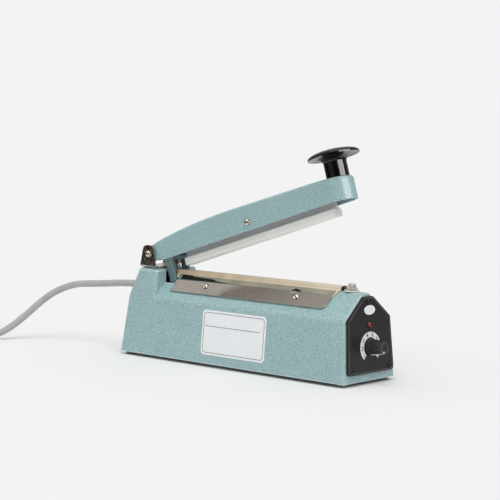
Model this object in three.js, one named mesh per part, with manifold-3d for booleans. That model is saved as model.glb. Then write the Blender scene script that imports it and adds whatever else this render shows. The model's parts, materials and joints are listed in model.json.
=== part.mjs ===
// Bench impulse sealer for plastic bags. Millimetres, +Z up, +X towards the timer panel.
import * as THREE from 'three';
import { mergeVertices } from 'three/addons/utils/BufferGeometryUtils.js';
import Module from 'manifold-3d';

const wasm = await Module();
wasm.setup();

// Fits shared by all pieces.
const boreClearance = 0.3;
const seatGap = 0.2;
const cutOverrun = 6;
const joinOverlap = 0.6;

// Housing casting: drafted box, gabled roof with a flat ridge, raised block at the rear.
const housingLength = 294;
const housingWidth = 71;
const shoulderHeight = 59;
const shoulderWidth = 59.6;
const ridgeHeight = 81.2;
const ridgeWidth = 9.6;
const deckRise = 4.3;
const deckSetBack = 9.4;
const deckCornerRadius = 19.5;
const ridgeSetBack = 20;
const rearBlockLength = 45;
const rearDraft = 7.2;
const frontDraft = 3.2;
const castingWall = 2.6;
const castingCornerRadius = 2.7;
const castingInnerRadius = 1.2;
const castingEdgeReach = 2.2;
const slotHalfWidth = 14.3;
const slotEndGap = 1.2;
const footBossRadius = 6;
const footBossTop = 14;

// Feet and base plate.
const footHeight = 3.2;
const footRadius = 5;
const footEndInset = 8;
const footSideInset = 8.2;
const footRecessRadius = 3.2;
const footRecessDepth = 1.7;
const footEdgeCut = 0.4;
const basePlateThickness = 2;
const standoffRadius = 3;
const standoffHeight = 6;

// Screws: radii, head heights.
const smallScrewRadius = 1.5;
const smallScrewHeadRadius = 2.9;
const smallScrewHeadHeight = 1.2;
const footScrewLength = 11;
const plateScrewHeadRadius = 3.4;
const plateScrewHeadHeight = 2;
const plateScrewLength = 8;
const boltRadius = 2;
const boltHeadRadius = 3.3;
const boltHeadHeight = 2.1;
const nutWidthRadius = 3.9;
const nutHeight = 3;

// Control panel on the front wall, with heights measured up the wall from its lower edge.
const panelThickness = 2.5;
const panelLow = 7;
const panelLowHalfWidth = 31;
const panelShoulderRise = 55.5;
const panelShoulderHalfWidth = 28.7;
const panelTopRise = 75;
const panelTopHalfWidth = 6.3;
const panelLowRadius = 3.5;
const panelCornerRadius = 1;
const panelTopScrewRise = 70.8;
const panelLowScrewRise = 11.5;
const panelLowScrewReach = 26;
const lampRise = 49.9;
const lampRadius = 2.75;
const lampLength = 15;
const lampDomeHeight = 1.3;
const dialRise = 30;

// Timer: potentiometer behind the wall, its shaft and the fluted knob.
const potBodyRadius = 11;
const potBodyDepth = 9;
const potBushingRadius = 4.4;
const shaftRadius = 2.9;
const knobGap = 0.7;
const timerKnobLength = 16;
const timerKnobBaseRadius = 7.2;
const timerKnobFrontRadius = 6.2;
const timerKnobSkirtRadius = 7.6;
const timerKnobSkirtHeight = 2;
const timerKnobFluteDepth = 0.35;
const timerKnobFlutes = 20;
const timerKnobBoreDepth = 11;

// Timer electronics on the base plate.
const boardRearX = 62;
const boardFrontX = 122;
const boardHalfWidth = 24;
const boardThickness = 1.6;
const boardHoleInset = 5;
const relayLength = 19;
const relayWidth = 15.5;
const relayHeight = 15;
const capacitorRadius = 6.5;
const capacitorHeight = 20;
const transformerCentreX = -12;
const coreLength = 66;
const coreHeight = 55;
const coreStack = 34;
const coreLimb = 22;
const coilOverhang = 10;

// Seal bed on the ridge, its tapes, heating ribbon and clamp plates.
const bedRearX = -94.8;
const bedFrontX = 113;
const bedWidth = 8.4;
const bedHeight = 3.1;
const bedEdgeRadius = 1;
const tapeThickness = 0.15;
const elementThickness = 0.3;
const elementWidth = 2;
const elementRearDrop = 6;
const coverThickness = 0.3;
const coverSkirt = 4.2;
const coverRearLap = 7.3;
const sidePlateRearX = -87;
const sidePlateFrontX = 113;
const sidePlateLow = 10;
const sidePlateHigh = 26;
const sidePlateThickness = 1;
const sidePlateLift = 0.9;
const sidePlateCornerRadius = 4;
const sidePlateNotch = 3;
const sidePlateNotchLow = 14.4;
const sidePlateNotchHigh = 18.6;
const sideScrewRearX = -45.4;
const sideScrewFrontX = 72.4;
const sideScrewRise = 19.8;

// Terminals at the two ends of the heating ribbon.
const terminalX = 126.1;
const terminalHeadRadius = 3.9;
const terminalHeadHeight = 3.9;
const terminalHeadFlutes = 9;
const terminalFluteDepth = 0.7;
const terminalFlangeRadius = 5;
const terminalFlangeHeight = 1.2;
const terminalWasherRadius = 6.8;
const terminalWasherThickness = 1.1;
const terminalShankLength = 9;
const rearTerminalThickness = 1;
const rearTerminalWidth = 6;
const rearTerminalReach = 16;

// Hinge bracket: bent sheet with two ears; the pivot is given from the middle of the base.
const pivotX = -125.4;
const pivotRise = 14;
const bracketHalfWidth = 16;
const bracketThickness = 1.5;
const bracketBendRadius = 2.2;
const bracketEarTop = 8.5;
const bracketEarRearReach = 12.2;
const bracketEarFrontReach = 8.8;
const bracketEarTopRear = 7.2;
const bracketEarTopFront = 6.4;
const bracketEarShoulderDrop = 2;
const bracketEarTopRadius = 6.4;
const bracketEarShoulderRadius = 3;
const bracketPlateFront = 11.2;
const bracketScrewX = -126;
const bracketScrewY = 9.4;
const bracketScrewHeadRadius = 3;
const bracketScrewHeadHeight = 1.2;
const bracketScrewLength = 9;

// Arm casting, in its own frame: x along the arm from the pivot, z square to it.
const armRestAngle = THREE.MathUtils.degToRad(16.7);
const armHalfWidth = 13.5;
const armWall = 2.5;
const armRoof = 2.8;
const armHubRadius = 7.5;
const armHubHalfLength = 14.2;
const armBarrelRadius = 6;
const armLowerEdge = 10.1;
const armHeelReach = 13;
const armHeelDrop = 8.2;
const armCavityRear = 10;
const armNotchLength = 3;
const armNotchDepth = 1.2;
const armNotchShares = [0.318, 0.567, 0.796];
const legRear = 17.1;
const legFront = 25.8;
const legInner = 8.4;
const legOuter = 11.02;
const legDrop = 39;
const legEndRadius = 3;
const springPinReach = 23;
const springPinDrop = 36.5;
const tripWebRear = 15.5;
const tripWebFront = 27.5;
const tripWebHigh = 9;
const tripWebLow = 12.5;
const tripScrewReach = 21.5;
const tripScrewDrop = 20.6;
const tripNutHeight = 3;
const tripNutWidthRadius = 3.4;

// Press knob and its screw.
const knobReach = 248.8;
const knobStemRadius = 10.6;
const knobFlareHeight = 26.3;
const knobRimHeight = 32.3;
const knobRimRadius = 23.9;
const knobRimThickness = 1.1;
const knobDomeHeight = 5.6;
const knobBossRadius = 7;
const knobBossDrop = 2.2;
const knobScrewRadius = 2.5;
const knobScrewHeadRadius = 4.4;
const knobScrewHeadHeight = 2.4;
const knobScrewLength = 17;

// Pressure bar and silicone strip: heights from the bar's own pivot, ends by their gaps from the trip
// screw and the knob's middle line.
const barPivotReach = 139.4;
const barPivotDrop = 1.8;
const barTripGap = 16.9;
const barKnobGap = 9.2;
const barWebThickness = 2.2;
const barFootHalfWidth = 3.2;
const barFootThickness = 1.2;
const barSleeveRadius = 3.6;
const barSleeveHalfLength = 9.8;
const barLow = 12.3;
const barHigh = 3.4;
const stripEndInset = 0.4;
const stripHalfWidth = 6;
const stripThickness = 7.2;
const stripEdgeRadius = 1.5;
const pressGap = 0.3;

// Microswitch under the slot, its plunger and bracket.
const switchLength = 19.8;
const switchWidth = 6.4;
const switchHeight = 10.2;
const plungerRadius = 1.3;
const plungerProud = 2.2;
const plungerDepth = 4;
const plungerEndInset = 2.8;
const switchBracketThickness = 1.2;
const switchBracketRearMargin = 4.4;
const switchBracketLength = 22;
const switchBracketReach = 13;

// Return spring between the pin in the legs and a post under the ridge.
const springPinRadius = 1.5;
const springPostX = -52;
const springPostRadius = 1.6;
const springPostDrop = 14.2;
const springMeanRadius = 3.1;
const springWireRadius = 0.5;
const springCoils = 14;
const springHookGap = 0.3;

// Mains lead: strain relief, free stretch, coil, tie and plug.
const cordRadius = 3.5;
const cordExitZ = 65.8;
const reliefRearX = -161;
const reliefFrontX = -132;
const reliefCollarX = -142.4;
const reliefCollarLength = 2.4;
const reliefBodyRadius = 5.6;
const reliefCollarRadius = 6.9;
const reliefTipRadius = 4.1;
const coilOuterRadius = 50;
const coilPitch = 7.5;
const coilLift = 1.2;
const coilTurns = 6.35;
const coilClimbTurns = 0.5;
const coilTailLength = 16;
const tieWidth = 8;
const tieThickness = 0.9;
const tieClear = 0.6;
const tieTurn = 1.2;
const plugReliefLength = 18;
const plugBodyLength = 26;
const plugHalfWidth = 13.2;
const plugHalfHeight = 11.9;
const plugReliefRadius = 5;
const plugBladeLength = 17;
const plugBladeHeight = 6.3;
const plugBladeThickness = 1.5;
const plugBladeSpacing = 12.7;
const plugPinRadius = 2.4;
const plugPinDrop = 6;

// The arm's top edge from the hub to the nose: distance along the arm, height above the pivot line.
const armTopPlaces = [
  [0, 7.5],
  [7.5, 7.5],
  [9, 8.8],
  [18, 10.3],
  [28, 11.4],
  [42, 12.7],
  [60, 14],
  [80, 14.9],
  [108, 15.4],
  [140, 14.8],
  [180, 14.1],
  [219, 13.3],
  [245, 12.3],
  [266, 11.2],
];

// The route of the free stretch, chosen by hand from the rear of the strain relief to the coil.
const cordRoute = [
  [-161.3, 0, 65.8],
  [-170, -0.1, 65.5],
  [-184, -0.8, 64.7],
  [-198, -1.9, 63.4],
  [-212, -3.3, 62.1],
  [-226, -5.4, 61.1],
  [-240, -8, 59.9],
  [-251, -10.6, 57.6],
  [-261, -13.8, 54],
  [-270, -17.6, 49.4],
  [-278, -22, 43.6],
  [-285, -27.4, 36.6],
  [-291, -33.6, 29],
  [-296.6, -40.6, 21.5],
  [-301.6, -48.2, 14.6],
  [-306.8, -56.2, 8.9],
  [-312.8, -64.4, 5.3],
  [-320.2, -72.4, 3.8],
  [-328.6, -79.8, 3.7],
  [-338, -86.8, 4],
  [-347.6, -93.6, 4.6],
  [-358, -101, 4.7],
];

// Counts of facets.
const cornerSteps = 3;
const ringSteps = 5;
const edgeSteps = 3;
const screwSegments = 16;
const roundSegments = 28;
const knobSegments = 40;
const cordSides = 10;
const coilSteps = 24;
const coilSides = 6;
const curlSteps = 8;
const curlSides = 5;

// Places that follow from the sizes above.
const halfLength = housingLength / 2;
const wallRise = shoulderHeight - footHeight;
const frontLean = Math.atan(frontDraft / wallRise);
const blockFrontX = rearBlockLength - halfLength;
const deckRearX = deckSetBack - halfLength;
const ridgeRearX = ridgeSetBack - halfLength;
const basePlateTop = footHeight + basePlateThickness;
const footX = halfLength - footEndInset;
const footY = housingWidth / 2 - footSideInset;
const roofRun = (shoulderWidth - ridgeWidth) / 2;
const roofRise = ridgeHeight - shoulderHeight;
const roofSlope = Math.atan2(roofRise, roofRun);
const bedTop = ridgeHeight + seatGap + bedHeight;
const elementLow = bedTop + 2 * tapeThickness;
const coverLow = elementLow + elementThickness + tapeThickness;
const sealTop = coverLow + coverThickness;
const springPostLow = ridgeHeight - springPostDrop;
const deckHeight = ridgeHeight + deckRise;
const pivotZ = deckHeight + pivotRise;
const armTip = knobReach + armHalfWidth;
const bracketLow = deckHeight + seatGap;
const bracketTop = bracketLow + bracketThickness;
const panelBack = seatGap;
const panelFront = panelBack + panelThickness;
const barRear = barPivotReach - tripScrewReach - barTripGap;
const barFront = knobReach - barKnobGap - barPivotReach;
const stripRear = barRear - stripEndInset;
const stripFront = barFront - stripEndInset;
const stripLow = barLow + seatGap + stripThickness;
const knobFrontX = halfLength - frontDraft * (dialRise / wallRise) + panelFront + knobGap + timerKnobLength;
const modelCentreX = (knobFrontX - halfLength) / 2;

// The arm turns until the strip, held level, stops above the cover.
const closedRise = sealTop + pressGap + stripLow - pivotZ;
const closedAngle = Math.asin(closedRise / Math.hypot(barPivotReach, barPivotDrop))
  + Math.atan2(barPivotDrop, barPivotReach);

// Half width of the drafted side walls at a height.
function wallHalfWidth(z) {
  return housingWidth / 2 - (housingWidth - shoulderWidth) / 2 * (z - footHeight) / wallRise;
}

// Front and rear ends of the casting at a height.
function wallFrontX(z) {
  return halfLength - frontDraft * (z - footHeight) / wallRise;
}

function wallRearX(z) {
  return rearDraft * (z - footHeight) / wallRise - halfLength;
}

// Height of the arm's top face above the pivot line, at a distance along the arm.
function armTop(reach) {
  const found = armTopPlaces.findIndex(([place]) => place >= reach);
  const next = found < 0 ? armTopPlaces.length - 1 : Math.max(found, 1);
  const [x0, z0] = armTopPlaces[next - 1];
  const [x1, z1] = armTopPlaces[next];
  return z0 + (z1 - z0) * (reach - x0) / (x1 - x0);
}

// A closed indexed mesh with shared vertices, its faces turned outwards.
function closedMesh(source) {
  const bare = source.clone();
  for (const name of Object.keys(bare.attributes)) {
    if (name !== 'position') {
      bare.deleteAttribute(name);
    }
  }
  const merged = mergeVertices(bare);
  const position = merged.attributes.position;
  const corner = [new THREE.Vector3(), new THREE.Vector3(), new THREE.Vector3()];
  const kept = [];
  let volume = 0;
  for (let i = 0; i < merged.index.count; i += 3) {
    const face = [merged.index.getX(i), merged.index.getX(i + 1), merged.index.getX(i + 2)];
    if (new Set(face).size < face.length) {
      continue;
    }
    face.forEach((vertex, place) => corner[place].fromBufferAttribute(position, vertex));
    volume += corner[0].dot(corner[1].cross(corner[2]));
    kept.push(face);
  }
  const wound = volume < 0 ? kept.map(([a, b, c]) => [a, c, b]) : kept;
  merged.setIndex(wound.flat());
  return merged;
}

function toSolid(geometry) {
  const mesh = closedMesh(geometry);
  return new wasm.Manifold(new wasm.Mesh({
    numProp: 3,
    vertProperties: new Float32Array(mesh.attributes.position.array),
    triVerts: new Uint32Array(mesh.index.array),
  }));
}

function toGeometry(solid) {
  const mesh = solid.getMesh();
  const geometry = new THREE.BufferGeometry();
  geometry.setAttribute('position', new THREE.BufferAttribute(new Float32Array(mesh.vertProperties), 3));
  geometry.setIndex(Array.from(mesh.triVerts));
  return geometry;
}

function join(first, ...others) {
  return toGeometry(others.reduce((sum, piece) => sum.add(toSolid(piece)), toSolid(first)));
}

function cut(first, ...others) {
  return toGeometry(others.reduce((rest, piece) => rest.subtract(toSolid(piece)), toSolid(first)));
}

function common(first, second) {
  return toGeometry(toSolid(first).intersect(toSolid(second)));
}

// A box between two corners.
function block(x0, x1, y0, y1, z0, z1) {
  const geometry = new THREE.BoxGeometry(x1 - x0, y1 - y0, z1 - z0);
  return geometry.translate((x0 + x1) / 2, (y0 + y1) / 2, (z0 + z1) / 2);
}

// A turned solid about Z from pairs of radius and height.
function turned(profile, segments) {
  const points = profile.map(([radius, z]) => new THREE.Vector2(radius, z));
  return closedMesh(new THREE.LatheGeometry(points, segments).rotateX(Math.PI / 2));
}

// A cylinder about Z between two heights.
function rod(radius, z0, z1, segments = screwSegments) {
  return turned([[0, z0], [radius, z0], [radius, z1], [0, z1]], segments);
}

// A cylinder about Y between two sides.
function crossRod(radius, y0, y1, segments = screwSegments) {
  return rod(radius, y0, y1, segments).rotateX(-Math.PI / 2);
}

// A cylinder about X between two ends.
function lengthRod(radius, x0, x1, segments = screwSegments) {
  return rod(radius, x0, x1, segments).rotateY(Math.PI / 2);
}

// Extrusions of an outline drawn in the (x, z) plane, along Y, and in the (y, z) plane, along X.
function extrudeAlongY(shape, y0, y1) {
  const geometry = new THREE.ExtrudeGeometry(shape, { depth: y1 - y0, bevelEnabled: false });
  return geometry.rotateX(Math.PI / 2).translate(0, y1, 0);
}

function extrudeAlongX(shape, x0, x1) {
  const geometry = new THREE.ExtrudeGeometry(shape, { depth: x1 - x0, bevelEnabled: false });
  const turn = new THREE.Matrix4().makeBasis(
    new THREE.Vector3(0, 1, 0),
    new THREE.Vector3(0, 0, 1),
    new THREE.Vector3(1, 0, 0),
  );
  return geometry.applyMatrix4(turn).translate(x0, 0, 0);
}

function extrudeAlongZ(shape, z0, z1) {
  const geometry = new THREE.ExtrudeGeometry(shape, { depth: z1 - z0, bevelEnabled: false });
  return geometry.translate(0, 0, z0);
}

// An outline through points, each with its own corner radius.
function roundedOutline(corners) {
  const shape = new THREE.Shape();
  const count = corners.length;
  for (let i = 0; i < count; i += 1) {
    const [x, y, radius] = corners[i];
    const here = new THREE.Vector2(x, y);
    const before = new THREE.Vector2(...corners[(i + count - 1) % count]);
    const after = new THREE.Vector2(...corners[(i + 1) % count]);
    const toBefore = before.sub(here).normalize();
    const toAfter = after.sub(here).normalize();
    const halfAngle = Math.acos(THREE.MathUtils.clamp(toBefore.dot(toAfter), -1, 1)) / 2;
    const reach = radius / Math.tan(halfAngle);
    const start = here.clone().addScaledVector(toBefore, reach);
    const end = here.clone().addScaledVector(toAfter, reach);
    for (let step = 0; step <= cornerSteps; step += 1) {
      const t = radius > 0 ? step / cornerSteps : 0;
      const a = start.clone().lerp(here, t);
      const b = here.clone().lerp(end, t);
      const point = a.lerp(b, t);
      if (i === 0 && step === 0) {
        shape.moveTo(point.x, point.y);
      } else if (step === 0 || radius > 0) {
        shape.lineTo(point.x, point.y);
      }
    }
  }
  return shape;
}

// The outline of a thin sheet that follows a bent line.
function sheetOutline(line, thickness) {
  const left = [];
  const right = [];
  line.forEach(([x, y], i) => {
    const here = new THREE.Vector2(x, y);
    const before = new THREE.Vector2(...line[Math.max(i - 1, 0)]);
    const after = new THREE.Vector2(...line[Math.min(i + 1, line.length - 1)]);
    const directionIn = (i > 0 ? here.clone().sub(before) : after.clone().sub(here)).normalize();
    const directionOut = (i < line.length - 1 ? after.clone().sub(here) : here.clone().sub(before)).normalize();
    const mitre = directionIn.clone().add(directionOut).normalize();
    const reach = thickness / 2 / mitre.dot(directionIn);
    left.push([x - mitre.y * reach, y + mitre.x * reach, 0]);
    right.unshift([x + mitre.y * reach, y - mitre.x * reach, 0]);
  });
  return roundedOutline([...left, ...right]);
}

// A closed skin over rings of points, each ring counter-clockwise seen from the last one.
function loft(rings) {
  const count = rings[0].length;
  const geometry = new THREE.BufferGeometry().setFromPoints(rings.flat());
  const faces = [];
  for (let level = 0; level + 1 < rings.length; level += 1) {
    for (let i = 0; i < count; i += 1) {
      const a = level * count + i;
      const b = level * count + (i + 1) % count;
      faces.push(a, b, b + count, a, b + count, a + count);
    }
  }
  const last = (rings.length - 1) * count;
  for (let i = 1; i + 1 < count; i += 1) {
    faces.push(0, i + 1, i, last, last + i, last + i + 1);
  }
  geometry.setIndex(faces);
  return geometry;
}

// A ring of points round a rectangle with rounded corners, the rear ones with their own radius.
function rectangleRing(rearX, frontX, halfWidth, radius, z, rearRadius = radius) {
  const corners = [
    [frontX - radius, halfWidth - radius, radius],
    [rearX + rearRadius, halfWidth - rearRadius, rearRadius],
    [rearX + rearRadius, rearRadius - halfWidth, rearRadius],
    [frontX - radius, radius - halfWidth, radius],
  ];
  return corners.flatMap(([x, y, reach], quarter) => Array.from({ length: ringSteps + 1 }, (_, step) => {
    const angle = (quarter + step / ringSteps) * Math.PI / 2;
    return new THREE.Vector3(x + reach * Math.cos(angle), y + reach * Math.sin(angle), z);
  }));
}

// A ring of points round a fluted grip.
function flutedRing(radius, depth, flutes, z) {
  const pointsPerFlute = 4;
  return Array.from({ length: flutes * pointsPerFlute }, (_, i) => {
    const angle = i / (flutes * pointsPerFlute) * 2 * Math.PI;
    const reach = radius - depth / 2 * (1 - Math.cos(flutes * angle));
    return new THREE.Vector3(reach * Math.cos(angle), reach * Math.sin(angle), z);
  });
}

// A round tube through a list of points, closed at both ends.
function tube(points, radius, sides) {
  const normal = new THREE.Vector3(0, 0, 1);
  const rings = points.map((point, i) => {
    const before = points[Math.max(i - 1, 0)];
    const after = points[Math.min(i + 1, points.length - 1)];
    const tangent = after.clone().sub(before).normalize();
    normal.addScaledVector(tangent, -normal.dot(tangent)).normalize();
    const binormal = tangent.clone().cross(normal);
    return Array.from({ length: sides }, (_, side) => {
      const angle = side / sides * 2 * Math.PI;
      return point.clone()
        .addScaledVector(normal, radius * Math.cos(angle))
        .addScaledVector(binormal, radius * Math.sin(angle));
    });
  });
  return loft(rings);
}

// A list of stations [rear, front, half width, z, rear radius] with its bends rounded off.
function softened(stations, reach) {
  const between = (from, to, share) => from.map((value, i) => value + (to[i] - value) * share);
  const rounded = [stations[0]];
  for (let i = 1; i + 1 < stations.length; i += 1) {
    const here = stations[i];
    const [start, end] = [stations[i - 1], stations[i + 1]].map((station) => {
      const away = Math.hypot(station[2] - here[2], station[3] - here[3]);
      return between(here, station, reach / away);
    });
    for (let step = 0; step <= edgeSteps; step += 1) {
      const share = step / edgeSteps;
      rounded.push(between(between(start, here, share), between(here, end, share), share));
    }
  }
  rounded.push(stations[stations.length - 1]);
  return rounded;
}

function loftStations(stations, radius) {
  return loft(stations.map(([rear, front, halfWidth, z, rearRadius]) => rectangleRing(
    rear,
    front,
    halfWidth,
    Math.min(radius, halfWidth / 2),
    z,
    Math.min(rearRadius, halfWidth / 2 + rearRadius / 4),
  )));
}

// A screw or bolt with a low domed head, its shank down from z = 0.
function panScrew(headRadius, headHeight, shankRadius, shankLength) {
  const domeStart = 0.45;
  const crownShare = 0.6;
  return turned([
    [0, -shankLength],
    [shankRadius, -shankLength],
    [shankRadius, 0],
    [headRadius, 0],
    [headRadius, headHeight * domeStart],
    [headRadius * crownShare, headHeight * (1 + domeStart) / (1 + crownShare)],
    [0, headHeight],
  ], screwSegments);
}

// A hexagon nut about Z with a clear bore.
function hexNut(cornerRadius, height, boreRadius) {
  const hexagonSides = 6;
  return cut(
    rod(cornerRadius, 0, height, hexagonSides),
    rod(boreRadius, -cutOverrun, height + cutOverrun),
  );
}

function finish(color, roughness, metalness) {
  return new THREE.MeshStandardMaterial({ color, roughness, metalness });
}

const hammeredTeal = finish(0x8faeb0, 0.45, 0.1);
const blackPlastic = finish(0x17181a, 0.25, 0);
const blackPanel = finish(0x2d2d2f, 0.5, 0.1);
const brightNickel = finish(0xb9b4ab, 0.2, 1);
const zincSteel = finish(0x9a9c9e, 0.4, 0.9);
const brass = finish(0xb08d4c, 0.35, 1);
const copper = finish(0x9c5a34, 0.4, 0.8);
const greyAluminium = finish(0x8d8f92, 0.45, 0.9);
const whiteSilicone = finish(0xe4e4dd, 0.6, 0);
const clothBeige = finish(0xc8b296, 0.7, 0);
const rubberGrey = finish(0x6d6f70, 0.8, 0);
const leadGrey = finish(0x8c8d90, 0.6, 0);
const redLens = finish(0x8c1820, 0.25, 0);
const darkFibre = finish(0x1d211f, 0.7, 0);
const boardGreen = finish(0x2f5d3a, 0.6, 0);

const sealer = new THREE.Group();
sealer.position.x = -modelCentreX;

function addPart(parent, name, geometry, material) {
  const mesh = new THREE.Mesh(closedMesh(geometry), material);
  mesh.name = name;
  parent.add(mesh);
  return mesh;
}

// Frames of the leaning front wall and of the two roof slopes, +Z of a slope pointing out of it.
const frontFrame = new THREE.Matrix4().makeRotationY(-frontLean).setPosition(halfLength, 0, footHeight);
const nearRoofFrame = new THREE.Matrix4().makeRotationX(roofSlope);
nearRoofFrame.setPosition(0, -shoulderWidth / 2, shoulderHeight);
const farRoofFrame = new THREE.Matrix4().makeRotationZ(Math.PI).multiply(nearRoofFrame);
const roofs = [
  { name: 'near', frame: nearRoofFrame, side: 1 },
  { name: 'far', frame: farRoofFrame, side: -1 },
];

function framedGroup(frame) {
  const group = new THREE.Group();
  group.applyMatrix4(frame);
  sealer.add(group);
  return group;
}

const frontGroup = framedGroup(frontFrame);
const panelScrewPlaces = [
  ['top', 0, panelTopScrewRise],
  ['near', -panelLowScrewReach, panelLowScrewRise],
  ['far', panelLowScrewReach, panelLowScrewRise],
];
const sideScrewPlaces = [
  ['rear', sideScrewRearX],
  ['front', sideScrewFrontX],
];
const footPlaces = [
  ['rear_near', -footX, -footY],
  ['rear_far', -footX, footY],
  ['front_near', footX, -footY],
  ['front_far', footX, footY],
];

// The casting's outer form grown inwards by an inset: gable and rear block.
function castingForm(inset, radius, reach, baseZ) {
  const normalY = Math.sin(roofSlope);
  const normalZ = Math.cos(roofSlope);
  const topInset = castingEdgeReach;
  const shoulderZ = shoulderHeight - inset * (1 - normalY) / normalZ;
  const ridgeHalf = ridgeWidth / 2 - inset * (1 - normalZ) / normalY;
  const base = [wallRearX(baseZ) + inset, wallFrontX(baseZ) - inset, wallHalfWidth(baseZ) - inset, baseZ, radius];
  const shoulder = [
    wallRearX(shoulderHeight) + inset,
    wallFrontX(shoulderHeight) - inset,
    shoulderWidth / 2 - inset,
    shoulderZ,
    radius,
  ];
  const ridge = [ridgeRearX + inset, wallFrontX(ridgeHeight) - inset, ridgeHalf, ridgeHeight - inset, radius];
  const ridgeTop = [ridge[0] + topInset, ridge[1] - topInset, ridgeHalf - topInset, ridge[3], radius];
  const gable = loftStations(softened([base, shoulder, ridge, ridgeTop], reach), radius);
  const blockFront = blockFrontX - inset;
  const deckRadius = deckCornerRadius - inset;
  const blockBase = [base[0], blockFront, base[2], baseZ, radius];
  const blockShoulder = [shoulder[0], blockFront, shoulder[2], shoulderHeight, radius];
  const deck = [deckRearX + inset, blockFront, wallHalfWidth(deckHeight) - inset, deckHeight - inset, deckRadius];
  const deckTop = [deck[0] + topInset, deck[1] - topInset, deck[2] - topInset, deck[3], deckRadius - topInset];
  const rearBlock = loftStations(softened([blockBase, blockShoulder, deck, deckTop], reach), radius);
  return join(gable, rearBlock);
}

// Where the legs pass at rest and closed, along X at the height of the slot.
function legPlace(reach, drop, angle) {
  return [
    pivotX + reach * Math.cos(angle) + drop * Math.sin(angle),
    pivotZ + reach * Math.sin(angle) - drop * Math.cos(angle),
  ];
}

const slotRoofZ = ridgeHeight - (slotHalfWidth - ridgeWidth / 2) * Math.tan(roofSlope);
const legDropAtRoof = (pivotZ - slotRoofZ + legFront * Math.sin(armRestAngle)) / Math.cos(armRestAngle);
const slotFrontX = legPlace(legFront, legDropAtRoof, armRestAngle)[0] + slotEndGap / 2;
const slotRearX = legPlace(legRear, armLowerEdge, closedAngle)[0] - slotEndGap;

function makeHousing() {
  const outer = castingForm(0, castingCornerRadius, castingEdgeReach, footHeight);
  const inner = castingForm(castingWall, castingInnerRadius, castingInnerRadius, footHeight - cutOverrun);
  const shell = cut(outer, inner);
  const bosses = footPlaces.map(([, x, y]) => rod(footBossRadius, basePlateTop + seatGap, footBossTop)
    .translate(x, y, 0));
  const post = rod(springPostRadius, springPostLow, ridgeHeight - castingWall + joinOverlap)
    .translate(springPostX, 0, 0);
  const screwBore = smallScrewRadius + boreClearance;
  const boltBore = boltRadius + boreClearance;
  const holes = [
    block(slotRearX, slotFrontX, -slotHalfWidth, slotHalfWidth, shoulderHeight, deckHeight + cutOverrun),
    rod(boltBore, shoulderHeight, ridgeHeight + cutOverrun).translate(terminalX, 0, 0),
    lengthRod(reliefBodyRadius + boreClearance, -halfLength - cutOverrun, reliefFrontX + cutOverrun)
      .translate(0, 0, cordExitZ),
    lengthRod(potBushingRadius + boreClearance, -castingWall - cutOverrun, cutOverrun)
      .translate(0, 0, dialRise).applyMatrix4(frontFrame),
    lengthRod(lampRadius + boreClearance, -castingWall - cutOverrun, cutOverrun)
      .translate(0, 0, lampRise).applyMatrix4(frontFrame),
  ];
  for (const [, x, y] of footPlaces) {
    holes.push(rod(screwBore, 0, footScrewLength + footRecessDepth + seatGap).translate(x, y, 0));
  }
  for (const y of [-bracketScrewY, bracketScrewY]) {
    holes.push(rod(boltBore, shoulderHeight, deckHeight + cutOverrun).translate(bracketScrewX, y, 0));
  }
  for (const [, y, rise] of panelScrewPlaces) {
    holes.push(lengthRod(screwBore, -castingWall - cutOverrun, cutOverrun)
      .translate(0, y, rise).applyMatrix4(frontFrame));
  }
  for (const { frame, side } of roofs) {
    for (const [, x] of sideScrewPlaces) {
      holes.push(rod(screwBore, -castingWall - cutOverrun, cutOverrun)
        .translate(side * x, sideScrewRise, 0).applyMatrix4(frame));
    }
  }
  return cut(join(shell, ...bosses, post), ...holes);
}

addPart(sealer, 'housing', makeHousing(), hammeredTeal);

function makeBasePlate() {
  const inset = castingWall + seatGap;
  const draftIn = (housingWidth - shoulderWidth) / 2 * basePlateThickness / wallRise;
  const halfWidth = housingWidth / 2 - inset - draftIn;
  const plateEnd = halfLength - inset - draftIn;
  const ring = (z) => rectangleRing(-plateEnd, plateEnd, halfWidth, castingInnerRadius, z);
  const plate = loft([ring(footHeight + seatGap), ring(basePlateTop)]);
  const standoffs = standoffPlaces().map(([x, y]) => rod(standoffRadius, footHeight + basePlateThickness / 2,
    basePlateTop + standoffHeight).translate(x, y, 0));
  const holes = footPlaces.map(([, x, y]) => rod(smallScrewRadius + boreClearance, 0, footBossTop)
    .translate(x, y, 0));
  return cut(join(plate, ...standoffs), ...holes);
}

function standoffPlaces() {
  const xs = [boardRearX + boardHoleInset, boardFrontX - boardHoleInset];
  const ys = [boardHoleInset - boardHalfWidth, boardHalfWidth - boardHoleInset];
  return xs.flatMap((x) => ys.map((y) => [x, y]));
}

addPart(sealer, 'base_plate', makeBasePlate(), zincSteel);

function makeFoot() {
  const bore = smallScrewRadius + boreClearance;
  return turned([
    [footRecessRadius, 0],
    [footRadius - footEdgeCut, 0],
    [footRadius, footEdgeCut],
    [footRadius, footHeight],
    [bore, footHeight],
    [bore, footRecessDepth],
    [footRecessRadius, footRecessDepth],
    [footRecessRadius, 0],
  ], screwSegments);
}

for (const [place, x, y] of footPlaces) {
  addPart(sealer, `rubber_foot_${place}`, makeFoot(), rubberGrey).position.set(x, y, 0);
  const screw = panScrew(smallScrewHeadRadius, smallScrewHeadHeight, smallScrewRadius, footScrewLength);
  const mesh = addPart(sealer, `foot_screw_${place}`, screw.rotateX(Math.PI), zincSteel);
  mesh.position.set(x, y, footRecessDepth - seatGap);
}

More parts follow.
